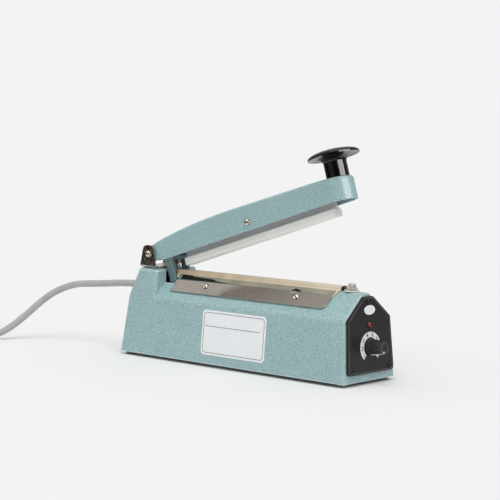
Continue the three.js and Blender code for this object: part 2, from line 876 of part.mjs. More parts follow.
// Front wall: panel, its screws, lamp, potentiometer, shaft and knob.
function makePanel() {
  const outline = roundedOutline([
    [-panelLowHalfWidth, panelLow, panelLowRadius],
    [panelLowHalfWidth, panelLow, panelLowRadius],
    [panelShoulderHalfWidth, panelShoulderRise, panelCornerRadius],
    [panelTopHalfWidth, panelTopRise, panelCornerRadius],
    [-panelTopHalfWidth, panelTopRise, panelCornerRadius],
    [-panelShoulderHalfWidth, panelShoulderRise, panelCornerRadius],
  ]);
  const through = (radius, y, rise) => lengthRod(radius, -cutOverrun, cutOverrun).translate(0, y, rise);
  return cut(
    extrudeAlongX(outline, panelBack, panelFront),
    through(potBushingRadius + boreClearance, 0, dialRise),
    through(lampRadius + boreClearance, 0, lampRise),
    ...panelScrewPlaces.map(([, y, rise]) => through(smallScrewRadius + boreClearance, y, rise)),
  );
}

addPart(frontGroup, 'control_panel', makePanel(), blackPanel);

for (const [place, y, rise] of panelScrewPlaces) {
  const shank = panelFront + castingWall + seatGap;
  const screw = panScrew(smallScrewHeadRadius, smallScrewHeadHeight, smallScrewRadius, shank);
  const mesh = addPart(frontGroup, `panel_screw_${place}`, screw.rotateY(Math.PI / 2), blackPlastic);
  mesh.position.set(panelFront + seatGap, y, rise);
}

function makeLamp() {
  const shoulder = panelFront + seatGap;
  return turned([
    [0, panelFront - lampLength],
    [lampRadius, panelFront - lampLength],
    [lampRadius, shoulder],
    [lampRadius * Math.cos(Math.PI / 6), shoulder + lampDomeHeight / 2],
    [lampRadius / 2, shoulder + lampDomeHeight * Math.cos(Math.PI / 6)],
    [0, shoulder + lampDomeHeight],
  ], screwSegments).rotateY(Math.PI / 2);
}

addPart(frontGroup, 'pilot_lamp', makeLamp(), redLens).position.z = lampRise;

function makePotentiometer() {
  const bore = shaftRadius + boreClearance;
  const wallBack = -castingWall - seatGap;
  const bodyBack = wallBack - potBodyDepth;
  const backPlate = bodyBack + potBodyDepth / 3;
  return turned([
    [0, bodyBack],
    [potBodyRadius, bodyBack],
    [potBodyRadius, wallBack],
    [potBushingRadius, wallBack],
    [potBushingRadius, panelFront],
    [bore, panelFront],
    [bore, backPlate],
    [0, backPlate],
  ], roundSegments).rotateY(Math.PI / 2);
}

addPart(frontGroup, 'potentiometer', makePotentiometer(), zincSteel).position.z = dialRise;

const knobBack = panelFront + knobGap;
const shaftBack = -castingWall - potBodyDepth / 3;
const shaftFront = knobBack + timerKnobBoreDepth - seatGap;
addPart(frontGroup, 'timer_shaft', lengthRod(shaftRadius, shaftBack, shaftFront), brass).position.z = dialRise;

function makeTimerKnob() {
  const skirt = turned([
    [0, 0],
    [timerKnobSkirtRadius, 0],
    [timerKnobSkirtRadius, timerKnobSkirtHeight / 2],
    [timerKnobBaseRadius, timerKnobSkirtHeight],
    [0, timerKnobSkirtHeight],
  ], roundSegments);
  const edge = timerKnobFluteDepth * 2;
  const grip = loft([
    flutedRing(timerKnobBaseRadius, timerKnobFluteDepth, timerKnobFlutes, timerKnobSkirtHeight / 2),
    flutedRing(timerKnobFrontRadius, timerKnobFluteDepth, timerKnobFlutes, timerKnobLength - edge),
    flutedRing(timerKnobFrontRadius - edge, 0, timerKnobFlutes, timerKnobLength),
  ]);
  const bore = rod(shaftRadius + seatGap, -cutOverrun, timerKnobBoreDepth);
  return cut(join(skirt, grip), bore).rotateY(Math.PI / 2);
}

addPart(frontGroup, 'timer_knob', makeTimerKnob(), blackPlastic).position.set(knobBack, 0, dialRise);

// Electronics on the base plate.
const boardTop = basePlateTop + standoffHeight + boardThickness;
addPart(sealer, 'timer_board', block(
  boardRearX,
  boardFrontX,
  -boardHalfWidth,
  boardHalfWidth,
  basePlateTop + standoffHeight,
  boardTop,
), boardGreen);
addPart(sealer, 'timer_relay', block(
  boardRearX + boardHoleInset,
  boardRearX + boardHoleInset + relayLength,
  -relayWidth / 2,
  relayWidth / 2,
  boardTop,
  boardTop + relayHeight,
), blackPlastic);
addPart(sealer, 'timer_capacitor', rod(capacitorRadius, boardTop, boardTop + capacitorHeight, roundSegments),
  darkFibre).position.set(boardFrontX - boardHoleInset - 2 * capacitorRadius, 0, 0);

function makeTransformerCore() {
  const half = coreLength / 2;
  const window = half - coreLimb;
  const holes = [-1, 1].map((side) => block(
    side * (coreLimb + window) / 2 - window / 2,
    side * (coreLimb + window) / 2 + window / 2,
    -coreStack,
    coreStack,
    window,
    coreHeight - window,
  ));
  return cut(block(-half, half, -coreStack / 2, coreStack / 2, 0, coreHeight), ...holes);
}

function makeTransformerCoil() {
  const window = coreLength / 2 - coreLimb;
  const low = window + seatGap;
  const high = coreHeight - window - seatGap;
  const outerHalf = coreLimb / 2 + window - seatGap;
  const boreHalf = coreLimb / 2 + seatGap;
  const depth = coreStack / 2 + coilOverhang;
  const wound = rectangleRing(-outerHalf, outerHalf, depth, coilOverhang / 2, low);
  const top = wound.map((point) => point.clone().setZ(high));
  const bore = block(-boreHalf, boreHalf, -coreStack / 2 - seatGap, coreStack / 2 + seatGap,
    low - cutOverrun, high + cutOverrun);
  return cut(loft([wound, top]), bore);
}

for (const [name, geometry, material] of [
  ['transformer_core', makeTransformerCore(), zincSteel],
  ['transformer_coil', makeTransformerCoil(), copper],
]) {
  addPart(sealer, name, geometry, material).position.set(transformerCentreX, 0, basePlateTop);
}

// Seal bed, tapes, ribbon and cover on the ridge.
function makeSealBed() {
  const half = bedWidth / 2;
  const low = ridgeHeight + seatGap;
  return extrudeAlongX(roundedOutline([
    [-half, low, 0],
    [half, low, 0],
    [half, bedTop, bedEdgeRadius],
    [-half, bedTop, bedEdgeRadius],
  ]), bedRearX, bedFrontX);
}

addPart(sealer, 'seal_bed', makeSealBed(), darkFibre);

const tapeHalf = bedWidth / 2 - bedEdgeRadius;
addPart(sealer, 'under_tape', block(
  bedRearX,
  bedFrontX,
  -tapeHalf,
  tapeHalf,
  bedTop,
  bedTop + tapeThickness,
), clothBeige);

const ribbonMid = elementLow + elementThickness / 2;
const tailX = bedRearX - tapeThickness - elementThickness;
const terminalSeat = ridgeHeight + seatGap + terminalWasherThickness + seatGap;
const headX = bedFrontX + tapeThickness + elementThickness;

function makeElement() {
  const line = [
    [tailX, bedTop - elementRearDrop],
    [tailX, ribbonMid],
    [headX, ribbonMid],
    [headX, terminalSeat + elementThickness / 2],
    [terminalX - boltRadius - boreClearance, terminalSeat + elementThickness / 2],
  ];
  return extrudeAlongY(sheetOutline(line, elementThickness), -elementWidth / 2, elementWidth / 2);
}

addPart(sealer, 'heating_element', makeElement(), brightNickel);

// The cover runs over the bed and down both roof slopes under the clamp plates.
const skirtLift = seatGap + coverThickness / 2;
const normalShift = [skirtLift * Math.sin(roofSlope), skirtLift * Math.cos(roofSlope)];

function coverLine() {
  const crestY = ridgeWidth / 2 + normalShift[0] / 2;
  const crestZ = ridgeHeight + skirtLift;
  const skirtY = coverSkirt * Math.cos(roofSlope);
  const skirtZ = coverSkirt * Math.sin(roofSlope);
  const run = (sidePlateReachUp() + coverSkirt) / 2;
  const half = bedWidth / 2 + skirtLift;
  const topZ = coverLow + coverThickness / 2;
  const side = [
    [ridgeWidth / 2 + run * Math.cos(roofSlope) + normalShift[0] + skirtY,
      ridgeHeight - run * Math.sin(roofSlope) + normalShift[1] - skirtZ],
    [crestY, crestZ],
    [half, crestZ + coverThickness],
    [half, topZ - bedEdgeRadius],
    [half - bedEdgeRadius, topZ],
  ];
  return [...side, ...side.map(([y, z]) => [-y, z]).reverse()];
}

// Distance down the slope from the ridge edge to the upper edge of a clamp plate.
function sidePlateReachUp() {
  return Math.hypot(roofRun, roofRise) - sidePlateHigh;
}

function makeCover() {
  const sheet = extrudeAlongX(sheetOutline(coverLine(), coverThickness), bedRearX, bedFrontX);
  const lapEnd = bedRearX + coverRearLap;
  const keepHalf = ridgeWidth / 2 + seatGap * 2;
  const sides = [-1, 1].map((side) => block(
    bedRearX - cutOverrun,
    lapEnd,
    Math.min(side * keepHalf, side * housingWidth),
    Math.max(side * keepHalf, side * housingWidth),
    shoulderHeight,
    deckHeight + cutOverrun,
  ));
  return cut(sheet, ...sides);
}

addPart(sealer, 'ptfe_cover', makeCover(), clothBeige);

function sidePlateOutline(side) {
  const corners = [
    [sidePlateRearX, sidePlateLow, 0],
    [sidePlateFrontX, sidePlateLow, sidePlateCornerRadius],
    [sidePlateFrontX, sidePlateHigh, 0],
    [sidePlateRearX, sidePlateHigh, 0],
    [sidePlateRearX, sidePlateNotchHigh, 0],
    [sidePlateRearX + sidePlateNotch, sidePlateNotchHigh, 0],
    [sidePlateRearX + sidePlateNotch, sidePlateNotchLow, 0],
    [sidePlateRearX, sidePlateNotchLow, 0],
  ].map(([x, y, radius]) => [side * x, y, radius]);
  return roundedOutline(side > 0 ? corners : corners.reverse());
}

for (const { name, frame, side } of roofs) {
  const group = framedGroup(frame);
  const plateTop = sidePlateLift + sidePlateThickness;
  const holes = sideScrewPlaces.map(([, x]) => rod(smallScrewRadius + boreClearance, -cutOverrun, cutOverrun)
    .translate(side * x, sideScrewRise, 0));
  const plate = cut(extrudeAlongZ(sidePlateOutline(side), sidePlateLift, plateTop), ...holes);
  addPart(group, `side_plate_${name}`, plate, brightNickel);
  for (const [place, x] of sideScrewPlaces) {
    const screw = panScrew(plateScrewHeadRadius, plateScrewHeadHeight, smallScrewRadius, plateScrewLength);
    const mesh = addPart(group, `side_plate_screw_${name}_${place}`, screw, brightNickel);
    mesh.position.set(side * x, sideScrewRise, plateTop + seatGap);
  }
}

function makeWasher() {
  return cut(
    rod(terminalWasherRadius, 0, terminalWasherThickness, roundSegments),
    rod(boltRadius + boreClearance, -cutOverrun, cutOverrun),
  );
}

addPart(sealer, 'front_terminal_washer', makeWasher(), whiteSilicone)
  .position.set(terminalX, 0, ridgeHeight + seatGap);

// Clamp screw of the ribbon: a flange that the closed strip clears, and a narrow fluted head before it.
function makeTerminalScrew() {
  const low = terminalSeat + elementThickness + seatGap;
  const headLow = low + terminalFlangeHeight;
  const high = headLow + terminalHeadHeight;
  const edge = terminalFluteDepth;
  const head = loft([
    flutedRing(terminalHeadRadius, terminalFluteDepth, terminalHeadFlutes, headLow - joinOverlap),
    flutedRing(terminalHeadRadius, terminalFluteDepth, terminalHeadFlutes, high - edge),
    flutedRing(terminalHeadRadius - edge, 0, terminalHeadFlutes, high),
  ]);
  const flange = rod(terminalFlangeRadius, low, headLow, roundSegments);
  return join(head, flange, rod(boltRadius, low - terminalShankLength, headLow));
}

addPart(sealer, 'front_terminal_screw', makeTerminalScrew(), brightNickel).position.x = terminalX;

function makeRearTerminal() {
  const footZ = ridgeHeight - castingWall - seatGap - rearTerminalThickness / 2;
  const tabX = tailX - (elementThickness + rearTerminalThickness) / 2 - seatGap;
  const line = [
    [tabX, bedTop - rearTerminalThickness],
    [tabX, footZ],
    [tabX + rearTerminalReach, footZ],
  ];
  const outline = sheetOutline(line, rearTerminalThickness);
  return extrudeAlongY(outline, -rearTerminalWidth / 2, rearTerminalWidth / 2);
}

addPart(sealer, 'rear_terminal', makeRearTerminal(), brass);

// Hinge bracket: a U of bent sheet, trimmed to the shape of the ears and the plate.
function makeBracket() {
  const half = bracketHalfWidth;
  const high = pivotZ + bracketEarTop;
  const inner = half - bracketThickness;
  const rearX = pivotX - bracketEarRearReach;
  const frontX = pivotX + bracketPlateFront;
  const plateLip = bracketTop + bracketThickness / 2;
  const section = roundedOutline([
    [-half, high + cutOverrun, 0],
    [-half, bracketLow, bracketBendRadius],
    [half, bracketLow, bracketBendRadius],
    [half, high + cutOverrun, 0],
    [inner, high + cutOverrun, 0],
    [inner, bracketTop, bracketBendRadius - bracketThickness],
    [-inner, bracketTop, bracketBendRadius - bracketThickness],
    [-inner, high + cutOverrun, 0],
  ]);
  const channel = extrudeAlongX(section, rearX, frontX);
  const ear = roundedOutline([
    [rearX, bracketLow - cutOverrun, 0],
    [frontX, bracketLow - cutOverrun, 0],
    [frontX, plateLip, bracketThickness / 2],
    [pivotX + bracketEarFrontReach, plateLip, 0],
    [pivotX + bracketEarFrontReach, pivotZ - bracketEarShoulderDrop, bracketEarShoulderRadius],
    [pivotX + bracketEarTopFront, high, bracketEarTopRadius],
    [pivotX - bracketEarTopRear, high, bracketEarTopRadius],
    [rearX, plateLip, 0],
  ]);
  const trimmed = common(channel, extrudeAlongY(ear, -half - cutOverrun, half + cutOverrun));
  const pinHole = crossRod(boltRadius + boreClearance, -half - cutOverrun, half + cutOverrun)
    .translate(pivotX, 0, pivotZ);
  const screwHoles = [-bracketScrewY, bracketScrewY].map((y) => countersunk(boreClearance)
    .translate(bracketScrewX, y, bracketTop));
  return cut(trimmed, pinHole, ...screwHoles);
}

// A flat-headed screw with its face at z = 0; a grown copy of it cuts its seat.
function countersunk(growth) {
  const head = bracketScrewHeadRadius + growth;
  const shank = boltRadius + growth;
  return turned([
    [0, -bracketScrewLength - growth],
    [shank, -bracketScrewLength - growth],
    [shank, -bracketScrewHeadHeight - growth],
    [head, growth],
    [0, growth],
  ], screwSegments);
}

addPart(sealer, 'hinge_bracket', makeBracket(), brightNickel);

for (const [name, y] of [['near', -bracketScrewY], ['far', bracketScrewY]]) {
  addPart(sealer, `bracket_screw_${name}`, countersunk(0), zincSteel)
    .position.set(bracketScrewX, y, bracketTop);
}

const boltSeat = bracketHalfWidth + seatGap;
const hingeBoltLength = 2 * boltSeat + nutHeight + seatGap;
addPart(sealer, 'hinge_bolt', panScrew(boltHeadRadius, boltHeadHeight, boltRadius, hingeBoltLength)
  .rotateX(Math.PI / 2), brightNickel).position.set(pivotX, -boltSeat, pivotZ);
addPart(sealer, 'hinge_nut', hexNut(nutWidthRadius, nutHeight, boltRadius + seatGap)
  .rotateX(-Math.PI / 2), brightNickel).position.set(pivotX, boltSeat, pivotZ);

// Arm casting: a long inverted channel with a rounded nose, a hub and two legs.
function armTopPoints(rear, front, drop) {
  const inside = armTopPlaces.map(([reach]) => reach).filter((reach) => reach > rear && reach < front);
  return [rear, ...inside, front].map((reach) => [reach, armTop(reach) - drop, 0]).reverse();
}

function armSideOutline() {
  const rear = armTopPlaces[0][0];
  return roundedOutline([
    [rear, -armHubRadius, 0],
    [armHubRadius, -armHeelDrop, 0],
    [armHeelReach, -armHeelDrop, 0],
    [legRear, -armLowerEdge, 0],
    [armTip, -armLowerEdge, 0],
    ...armTopPoints(rear, armTip, 0),
  ]);
}

function armCavityOutline(lowZ) {
  const front = armTip - armWall;
  return roundedOutline([
    [armCavityRear, lowZ, 0],
    [front, lowZ, 0],
    ...armTopPoints(armCavityRear, front, armRoof),
  ]);
}

function armPlanOutline(inset, rear) {
  const shape = new THREE.Shape();
  const half = armHalfWidth - inset;
  shape.moveTo(rear, -half);
  shape.lineTo(knobReach, -half);
  const noseSteps = 16;
  for (let step = 1; step <= noseSteps; step += 1) {
    const angle = Math.PI * (step / noseSteps - 1 / 2);
    shape.lineTo(knobReach + half * Math.cos(angle), half * Math.sin(angle));
  }
  shape.lineTo(rear, half);
  shape.closePath();
  return shape;
}

function makeArm() {
  const reach = armHalfWidth + cutOverrun;
  const high = armHalfWidth + cutOverrun;
  const low = -armLowerEdge - cutOverrun;
  const side = extrudeAlongY(armSideOutline(), -reach, reach);
  const hub = crossRod(armHubRadius, -armHalfWidth, armHalfWidth, roundSegments);
  const outer = common(side, extrudeAlongZ(armPlanOutline(0, -armHubRadius), low, high));
  const cavitySide = extrudeAlongY(armCavityOutline(low), -reach, reach);
  const cavity = common(cavitySide, extrudeAlongZ(armPlanOutline(armWall, armCavityRear), low, high));
  const barrel = crossRod(armBarrelRadius, -armHubHalfLength, armHubHalfLength, roundSegments);
  const legTop = armTop(legRear) - armRoof / 2;
  const legs = [-1, 1].map((sign) => {
    const legOutline = roundedOutline([
      [legRear, legTop, 0],
      [legRear, -legDrop, legEndRadius],
      [legFront, -legDrop, legEndRadius],
      [legFront, legTop, 0],
    ]);
    return extrudeAlongY(legOutline, Math.min(sign * legInner, sign * legOuter),
      Math.max(sign * legInner, sign * legOuter));
  });
  const webHalf = armHalfWidth - armWall + joinOverlap;
  const web = block(tripWebRear, tripWebFront, -webHalf, webHalf, -tripWebLow, -tripWebHigh);
  const bossTop = armTop(knobReach) - armRoof + joinOverlap;
  const boss = rod(knobBossRadius, bossTop - joinOverlap - knobBossDrop, bossTop, roundSegments)
    .translate(knobReach, 0, 0);
  const shell = cut(join(outer, hub), cavity);
  const solid = join(shell, barrel, ...legs, web, boss);
  const notches = armNotchShares.map((share) => block(
    share * armTip - armNotchLength / 2,
    share * armTip + armNotchLength / 2,
    -reach,
    reach,
    low,
    armNotchDepth - armLowerEdge,
  ));
  return cut(
    solid,
    crossRod(boltRadius + boreClearance, -reach, reach),
    crossRod(smallScrewRadius + boreClearance, -reach, reach).translate(barPivotReach, 0, -barPivotDrop),
    crossRod(springPinRadius + seatGap, -reach, reach).translate(springPinReach, 0, -springPinDrop),
    rod(boltRadius + boreClearance, -tripWebLow - cutOverrun, cutOverrun).translate(tripScrewReach, 0, 0),
    rod(knobScrewRadius + boreClearance, 0, armTop(knobReach) + cutOverrun).translate(knobReach, 0, 0),
    ...notches,
  );
}

const armGroup = new THREE.Group();
armGroup.position.set(pivotX, 0, pivotZ);
armGroup.rotation.y = -armRestAngle;
sealer.add(armGroup);
addPart(armGroup, 'arm_casting', makeArm(), hammeredTeal);

function makePressKnob() {
  const base = armTop(knobReach + knobStemRadius) - joinOverlap;
  const flareSteps = 5;
  const domeSteps = 7;
  const flare = Array.from({ length: flareSteps + 1 }, (_, step) => {
    const angle = step / flareSteps * Math.PI / 2;
    const reach = knobRimRadius - knobStemRadius;
    const rise = knobRimHeight - knobRimThickness - knobFlareHeight;
    return [knobStemRadius + reach * (1 - Math.cos(angle)), knobFlareHeight + rise * Math.sin(angle)];
  });
  const dome = Array.from({ length: domeSteps + 1 }, (_, step) => {
    const angle = step / domeSteps * Math.PI / 2;
    return [knobRimRadius * Math.cos(angle), knobRimHeight + knobDomeHeight * Math.sin(angle)];
  });
  dome[domeSteps][0] = 0;
  const body = turned([[0, base], [knobStemRadius, base], ...flare, ...dome], knobSegments);
  const bore = rod(knobScrewRadius + seatGap, 0, knobScrewTop() + seatGap);
  const seat = extrudeAlongY(armSideOutline(), -knobRimRadius, knobRimRadius);
  return cut(cut(body, bore).translate(knobReach, 0, 0), seat.translate(0, 0, seatGap));
}

function knobScrewSeat() {
  return armTop(knobReach) - armRoof - knobBossDrop - seatGap;
}

function knobScrewTop() {
  return knobScrewSeat() + knobScrewLength;
}

addPart(armGroup, 'press_knob', makePressKnob(), blackPlastic);
addPart(armGroup, 'knob_screw', panScrew(knobScrewHeadRadius, knobScrewHeadHeight, knobScrewRadius,
  knobScrewLength).rotateX(Math.PI), zincSteel).position.set(knobReach, 0, knobScrewSeat());

const pivotScrewSeat = armHalfWidth + seatGap;
addPart(armGroup, 'bar_pivot_screw', panScrew(plateScrewHeadRadius, plateScrewHeadHeight, smallScrewRadius,
  2 * pivotScrewSeat).rotateX(Math.PI / 2), brightNickel)
  .position.set(barPivotReach, -pivotScrewSeat, -barPivotDrop);
addPart(armGroup, 'spring_pin', crossRod(springPinRadius, -legOuter, legOuter), zincSteel)
  .position.set(springPinReach, 0, -springPinDrop);

const tripHeadSeat = seatGap - tripWebHigh;
addPart(armGroup, 'trip_screw', panScrew(boltHeadRadius, boltHeadHeight, boltRadius,
  tripScrewDrop + tripHeadSeat), zincSteel).position.set(tripScrewReach, 0, tripHeadSeat);
addPart(armGroup, 'trip_nut', hexNut(tripNutWidthRadius, tripNutHeight, boltRadius + seatGap), brass)
  .position.set(tripScrewReach, 0, -tripWebLow - seatGap - tripNutHeight);

// Pressure bar: an inverted T with a sleeve for its pivot screw, and the strip under its foot.
const barGroup = new THREE.Group();
barGroup.position.set(barPivotReach, 0, -barPivotDrop);
armGroup.add(barGroup);

function makePressureBar() {
  const webHalf = barWebThickness / 2;
  const footTop = barFootThickness - barLow;
  const section = roundedOutline([
    [-barFootHalfWidth, -barLow, 0],
    [barFootHalfWidth, -barLow, 0],
    [barFootHalfWidth, footTop, 0],
    [webHalf, footTop, 0],
    [webHalf, barHigh, 0],
    [-webHalf, barHigh, 0],
    [-webHalf, footTop, 0],
    [-barFootHalfWidth, footTop, 0],
  ]);
  const sleeve = crossRod(barSleeveRadius, -barSleeveHalfLength, barSleeveHalfLength);
  const pivotHole = crossRod(smallScrewRadius + boreClearance, -barSleeveHalfLength - cutOverrun,
    barSleeveHalfLength + cutOverrun);
  return cut(join(extrudeAlongX(section, -barRear, barFront), sleeve), pivotHole);
}

function makeStrip() {
  const high = -barLow - seatGap;
  return extrudeAlongX(roundedOutline([
    [-stripHalfWidth, -stripLow, stripEdgeRadius],
    [stripHalfWidth, -stripLow, stripEdgeRadius],
    [stripHalfWidth, high, 0],
    [-stripHalfWidth, high, 0],
  ]), -stripRear, stripFront);
}

addPart(barGroup, 'pressure_bar', makePressureBar(), greyAluminium);
addPart(barGroup, 'silicone_strip', makeStrip(), whiteSilicone);

// Microswitch under the slot: the trip screw reaches the plunger when the arm is closed.
const [tripX, tripZ] = legPlace(tripScrewReach, tripScrewDrop, closedAngle);
const plungerTop = tripZ - boltRadius * Math.sin(closedAngle) - pressGap;
const switchTop = plungerTop - plungerProud;
const switchFrontX = tripX + plungerEndInset;

function makeMicroswitch() {
  const body = block(
    switchFrontX - switchLength,
    switchFrontX,
    -switchWidth / 2,
    switchWidth / 2,
    switchTop - switchHeight,
    switchTop,
  );
  const bore = rod(plungerRadius + boreClearance, switchTop - plungerDepth - boreClearance - plungerProud,
    switchTop + cutOverrun).translate(tripX, 0, 0);
  return cut(body, bore);
}

addPart(sealer, 'microswitch', makeMicroswitch(), blackPlastic);
addPart(sealer, 'switch_plunger', rod(plungerRadius, switchTop - plungerDepth, plungerTop), redLens)
  .position.x = tripX;

function makeSwitchBracket() {
  const flangeTop = deckHeight - castingWall - seatGap;
  const webY = switchWidth / 2 + seatGap + switchBracketThickness / 2;
  const line = [
    [webY, switchTop - switchHeight],
    [webY, flangeTop - switchBracketThickness / 2],
    [switchBracketReach, flangeTop - switchBracketThickness / 2],
  ];
  const rearX = bracketScrewX - switchBracketRearMargin;
  const bent = extrudeAlongX(sheetOutline(line, switchBracketThickness), rearX, rearX + switchBracketLength);
  const hole = rod(boltRadius + boreClearance, shoulderHeight, deckHeight)
    .translate(bracketScrewX, bracketScrewY, 0);
  return cut(bent, hole);
}

addPart(sealer, 'microswitch_bracket', makeSwitchBracket(), zincSteel);

// Return spring: a hook round the pin, a straight, the curls, a straight and a hook round the post.
function springPoints() {
  const [pinX, pinZ] = legPlace(springPinReach, springPinDrop, armRestAngle);
  const pinHook = springPinRadius + springWireRadius + springHookGap;
  const postHook = springPostRadius + springWireRadius + springHookGap;
  const springZ = pinZ;
  const hookSteps = 5;
  const points = [];
  for (let step = 0; step <= hookSteps; step += 1) {
    const angle = Math.PI * (3 / 2 - step / hookSteps);
    points.push(new THREE.Vector3(pinX + pinHook * Math.cos(angle), 0, pinZ + pinHook * Math.sin(angle)));
  }
  const startX = pinX + pinHook + springMeanRadius;
  const endX = springPostX - postHook - springMeanRadius;
  const steps = springCoils * curlSteps;
  for (let step = 0; step <= steps; step += 1) {
    const angle = step / curlSteps * 2 * Math.PI;
    points.push(new THREE.Vector3(
      startX + (endX - startX) * step / steps,
      springMeanRadius * Math.sin(angle),
      springZ + springMeanRadius * Math.cos(angle),
    ));
  }
  for (let step = 0; step <= hookSteps; step += 1) {
    const angle = Math.PI * (1 / 2 - step / hookSteps);
    points.push(new THREE.Vector3(
      springPostX + postHook * Math.cos(angle),
      postHook * Math.sin(angle),
      springZ + springMeanRadius,
    ));
  }
  return points;
}

addPart(sealer, 'return_spring', tube(springPoints(), springWireRadius, curlSides), zincSteel);

// Mains lead.
function makeStrainRelief() {
  return turned([
    [0, -reliefFrontX],
    [reliefBodyRadius, -reliefFrontX],
    [reliefBodyRadius, -reliefCollarX - reliefCollarLength],
    [reliefCollarRadius, -reliefCollarX - reliefCollarLength],
    [reliefCollarRadius, -reliefCollarX],
    [reliefBodyRadius, -reliefCollarX],
    [reliefTipRadius, -reliefRearX],
    [0, -reliefRearX],
  ], roundSegments).rotateY(-Math.PI / 2);
}

addPart(sealer, 'strain_relief', makeStrainRelief(), leadGrey).position.z = cordExitZ;

const routeCurve = new THREE.CatmullRomCurve3(cordRoute.map((point) => new THREE.Vector3(...point)));
const routeSteps = cordRoute.length - 1;
addPart(sealer, 'power_cord', tube(routeCurve.getSpacedPoints(routeSteps), cordRadius, cordSides), leadGrey);

// The coil starts where the route ends, winds inwards, climbs a layer and winds out again.
const routeEnd = routeCurve.getPoint(1);
const routeHeading = routeCurve.getTangent(1).setZ(0).normalize();
const coilCentre = new THREE.Vector3(routeHeading.y, -routeHeading.x, 0)
  .multiplyScalar(coilOuterRadius)
  .add(routeEnd)
  .addScaledVector(routeHeading, boreClearance + 2 * cordRadius);
const coilStartAngle = Math.atan2(routeHeading.x, -routeHeading.y);
const layerRise = coilPitch;
const coilLowZ = cordRadius + coilLift;

function coilPoint(turn) {
  const middle = coilTurns / 2;
  const radius = coilOuterRadius - coilPitch * Math.min(turn, coilTurns - turn);
  const climb = THREE.MathUtils.smoothstep(turn, middle - coilClimbTurns / 2, middle + coilClimbTurns / 2);
  const angle = coilStartAngle - turn * 2 * Math.PI;
  return new THREE.Vector3(
    coilCentre.x + radius * Math.cos(angle),
    coilCentre.y + radius * Math.sin(angle),
    coilLowZ + layerRise * climb,
  );
}

const coilSamples = Math.round(coilTurns * coilSteps);
const wound = Array.from({ length: coilSamples + 1 }, (_, i) => coilPoint(coilTurns * i / coilSamples));
const coilEndAngle = coilStartAngle - coilTurns * 2 * Math.PI;
const tailHeading = new THREE.Vector3(Math.sin(coilEndAngle), -Math.cos(coilEndAngle), 0);
const leadIn = wound[0].clone().addScaledVector(routeHeading, -2 * cordRadius);
const tailEnd = wound[coilSamples].clone().addScaledVector(tailHeading, coilTailLength);
const coilPath = [leadIn, ...wound, tailEnd];
addPart(sealer, 'cord_coil', tube(coilPath, cordRadius, coilSides), leadGrey);

// Least gap between turns, measured between points at least half a turn apart.
function leastCoilGap() {
  let least = Infinity;
  const apart = coilSteps / 2;
  for (let i = 0; i < wound.length; i += 1) {
    for (let j = i + apart; j < wound.length; j += 1) {
      least = Math.min(least, wound[i].distanceTo(wound[j]));
    }
  }
  return least - 2 * cordRadius;
}

function pathLength(points) {
  return points.slice(1).reduce((sum, point, i) => sum + point.distanceTo(points[i]), 0);
}

const cordLength = routeCurve.getLength() + pathLength(coilPath);
console.log('least gap of the coil to itself, mm:', leastCoilGap().toFixed(2));
console.log('length of the lead, mm:', cordLength.toFixed(0));

// A band round all turns of the coil at one place.
function makeTie() {
  const angle = coilStartAngle - tieTurn * 2 * Math.PI;
  const outer = coilOuterRadius + cordRadius + tieClear;
  const inner = coilOuterRadius - coilPitch * coilTurns / 2 - cordRadius - tieClear;
  const high = coilLowZ + layerRise + cordRadius + tieClear;
  const ring = (reach, z0, z1) => roundedOutline([
    [inner - reach, z0, tieThickness],
    [outer + reach, z0, tieThickness],
    [outer + reach, z1, tieThickness],
    [inner - reach, z1, tieThickness],
  ]);
  const band = cut(
    extrudeAlongY(ring(tieThickness, 0, high + tieThickness), -tieWidth / 2, tieWidth / 2),
    extrudeAlongY(ring(0, tieThickness, high), -tieWidth, tieWidth),
  );
  return band.rotateZ(angle).translate(coilCentre.x, coilCentre.y, 0);
}

addPart(sealer, 'cord_tie', makeTie(), blackPlastic);

// Plug, along its own X from the cord to the pins.
function makePlug() {
  const steps = roundSegments;
  const squareness = 0.5;
  const oval = (x, halfWidth, halfHeight) => Array.from({ length: steps }, (_, i) => {
    const angle = i / steps * 2 * Math.PI;
    const y = Math.sign(Math.cos(angle)) * Math.abs(Math.cos(angle)) ** squareness * halfWidth;
    const z = Math.sign(Math.sin(angle)) * Math.abs(Math.sin(angle)) ** squareness * halfHeight;
    return new THREE.Vector3(x, y, z);
  });
  const round = (x, radius) => Array.from({ length: steps }, (_, i) => {
    const angle = i / steps * 2 * Math.PI;
    return new THREE.Vector3(x, radius * Math.cos(angle), radius * Math.sin(angle));
  });
  const bodyStart = plugReliefLength;
  const bodyEnd = plugReliefLength + plugBodyLength;
  const body = loft([
    round(0, plugReliefRadius),
    round(bodyStart * 2 / 3, plugReliefRadius * 4 / 3),
    oval(bodyStart + plugBodyLength / 4, plugHalfWidth * 3 / 4, plugHalfHeight * 3 / 4),
    oval(bodyStart + plugBodyLength / 2, plugHalfWidth, plugHalfHeight),
    oval(bodyEnd, plugHalfWidth, plugHalfHeight),
  ]);
  const bladeX = bodyEnd - joinOverlap;
  const blades = [-1, 1].map((side) => block(
    bladeX,
    bodyEnd + plugBladeLength,
    side * plugBladeSpacing / 2 - plugBladeThickness / 2,
    side * plugBladeSpacing / 2 + plugBladeThickness / 2,
    0,
    plugBladeHeight,
  ));
  const pin = lengthRod(plugPinRadius, bladeX, bodyEnd + plugBladeLength).translate(0, 0, -plugPinDrop);
  return join(body, ...blades, pin);
}

const plug = addPart(sealer, 'plug', makePlug(), blackPlastic);
plug.position.copy(tailEnd).addScaledVector(tailHeading, boreClearance);
plug.rotation.z = Math.atan2(tailHeading.y, tailHeading.x);

export default sealer;
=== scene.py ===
import json
import math

import bmesh
import bpy
from mathutils import Matrix, Vector, geometry, noise


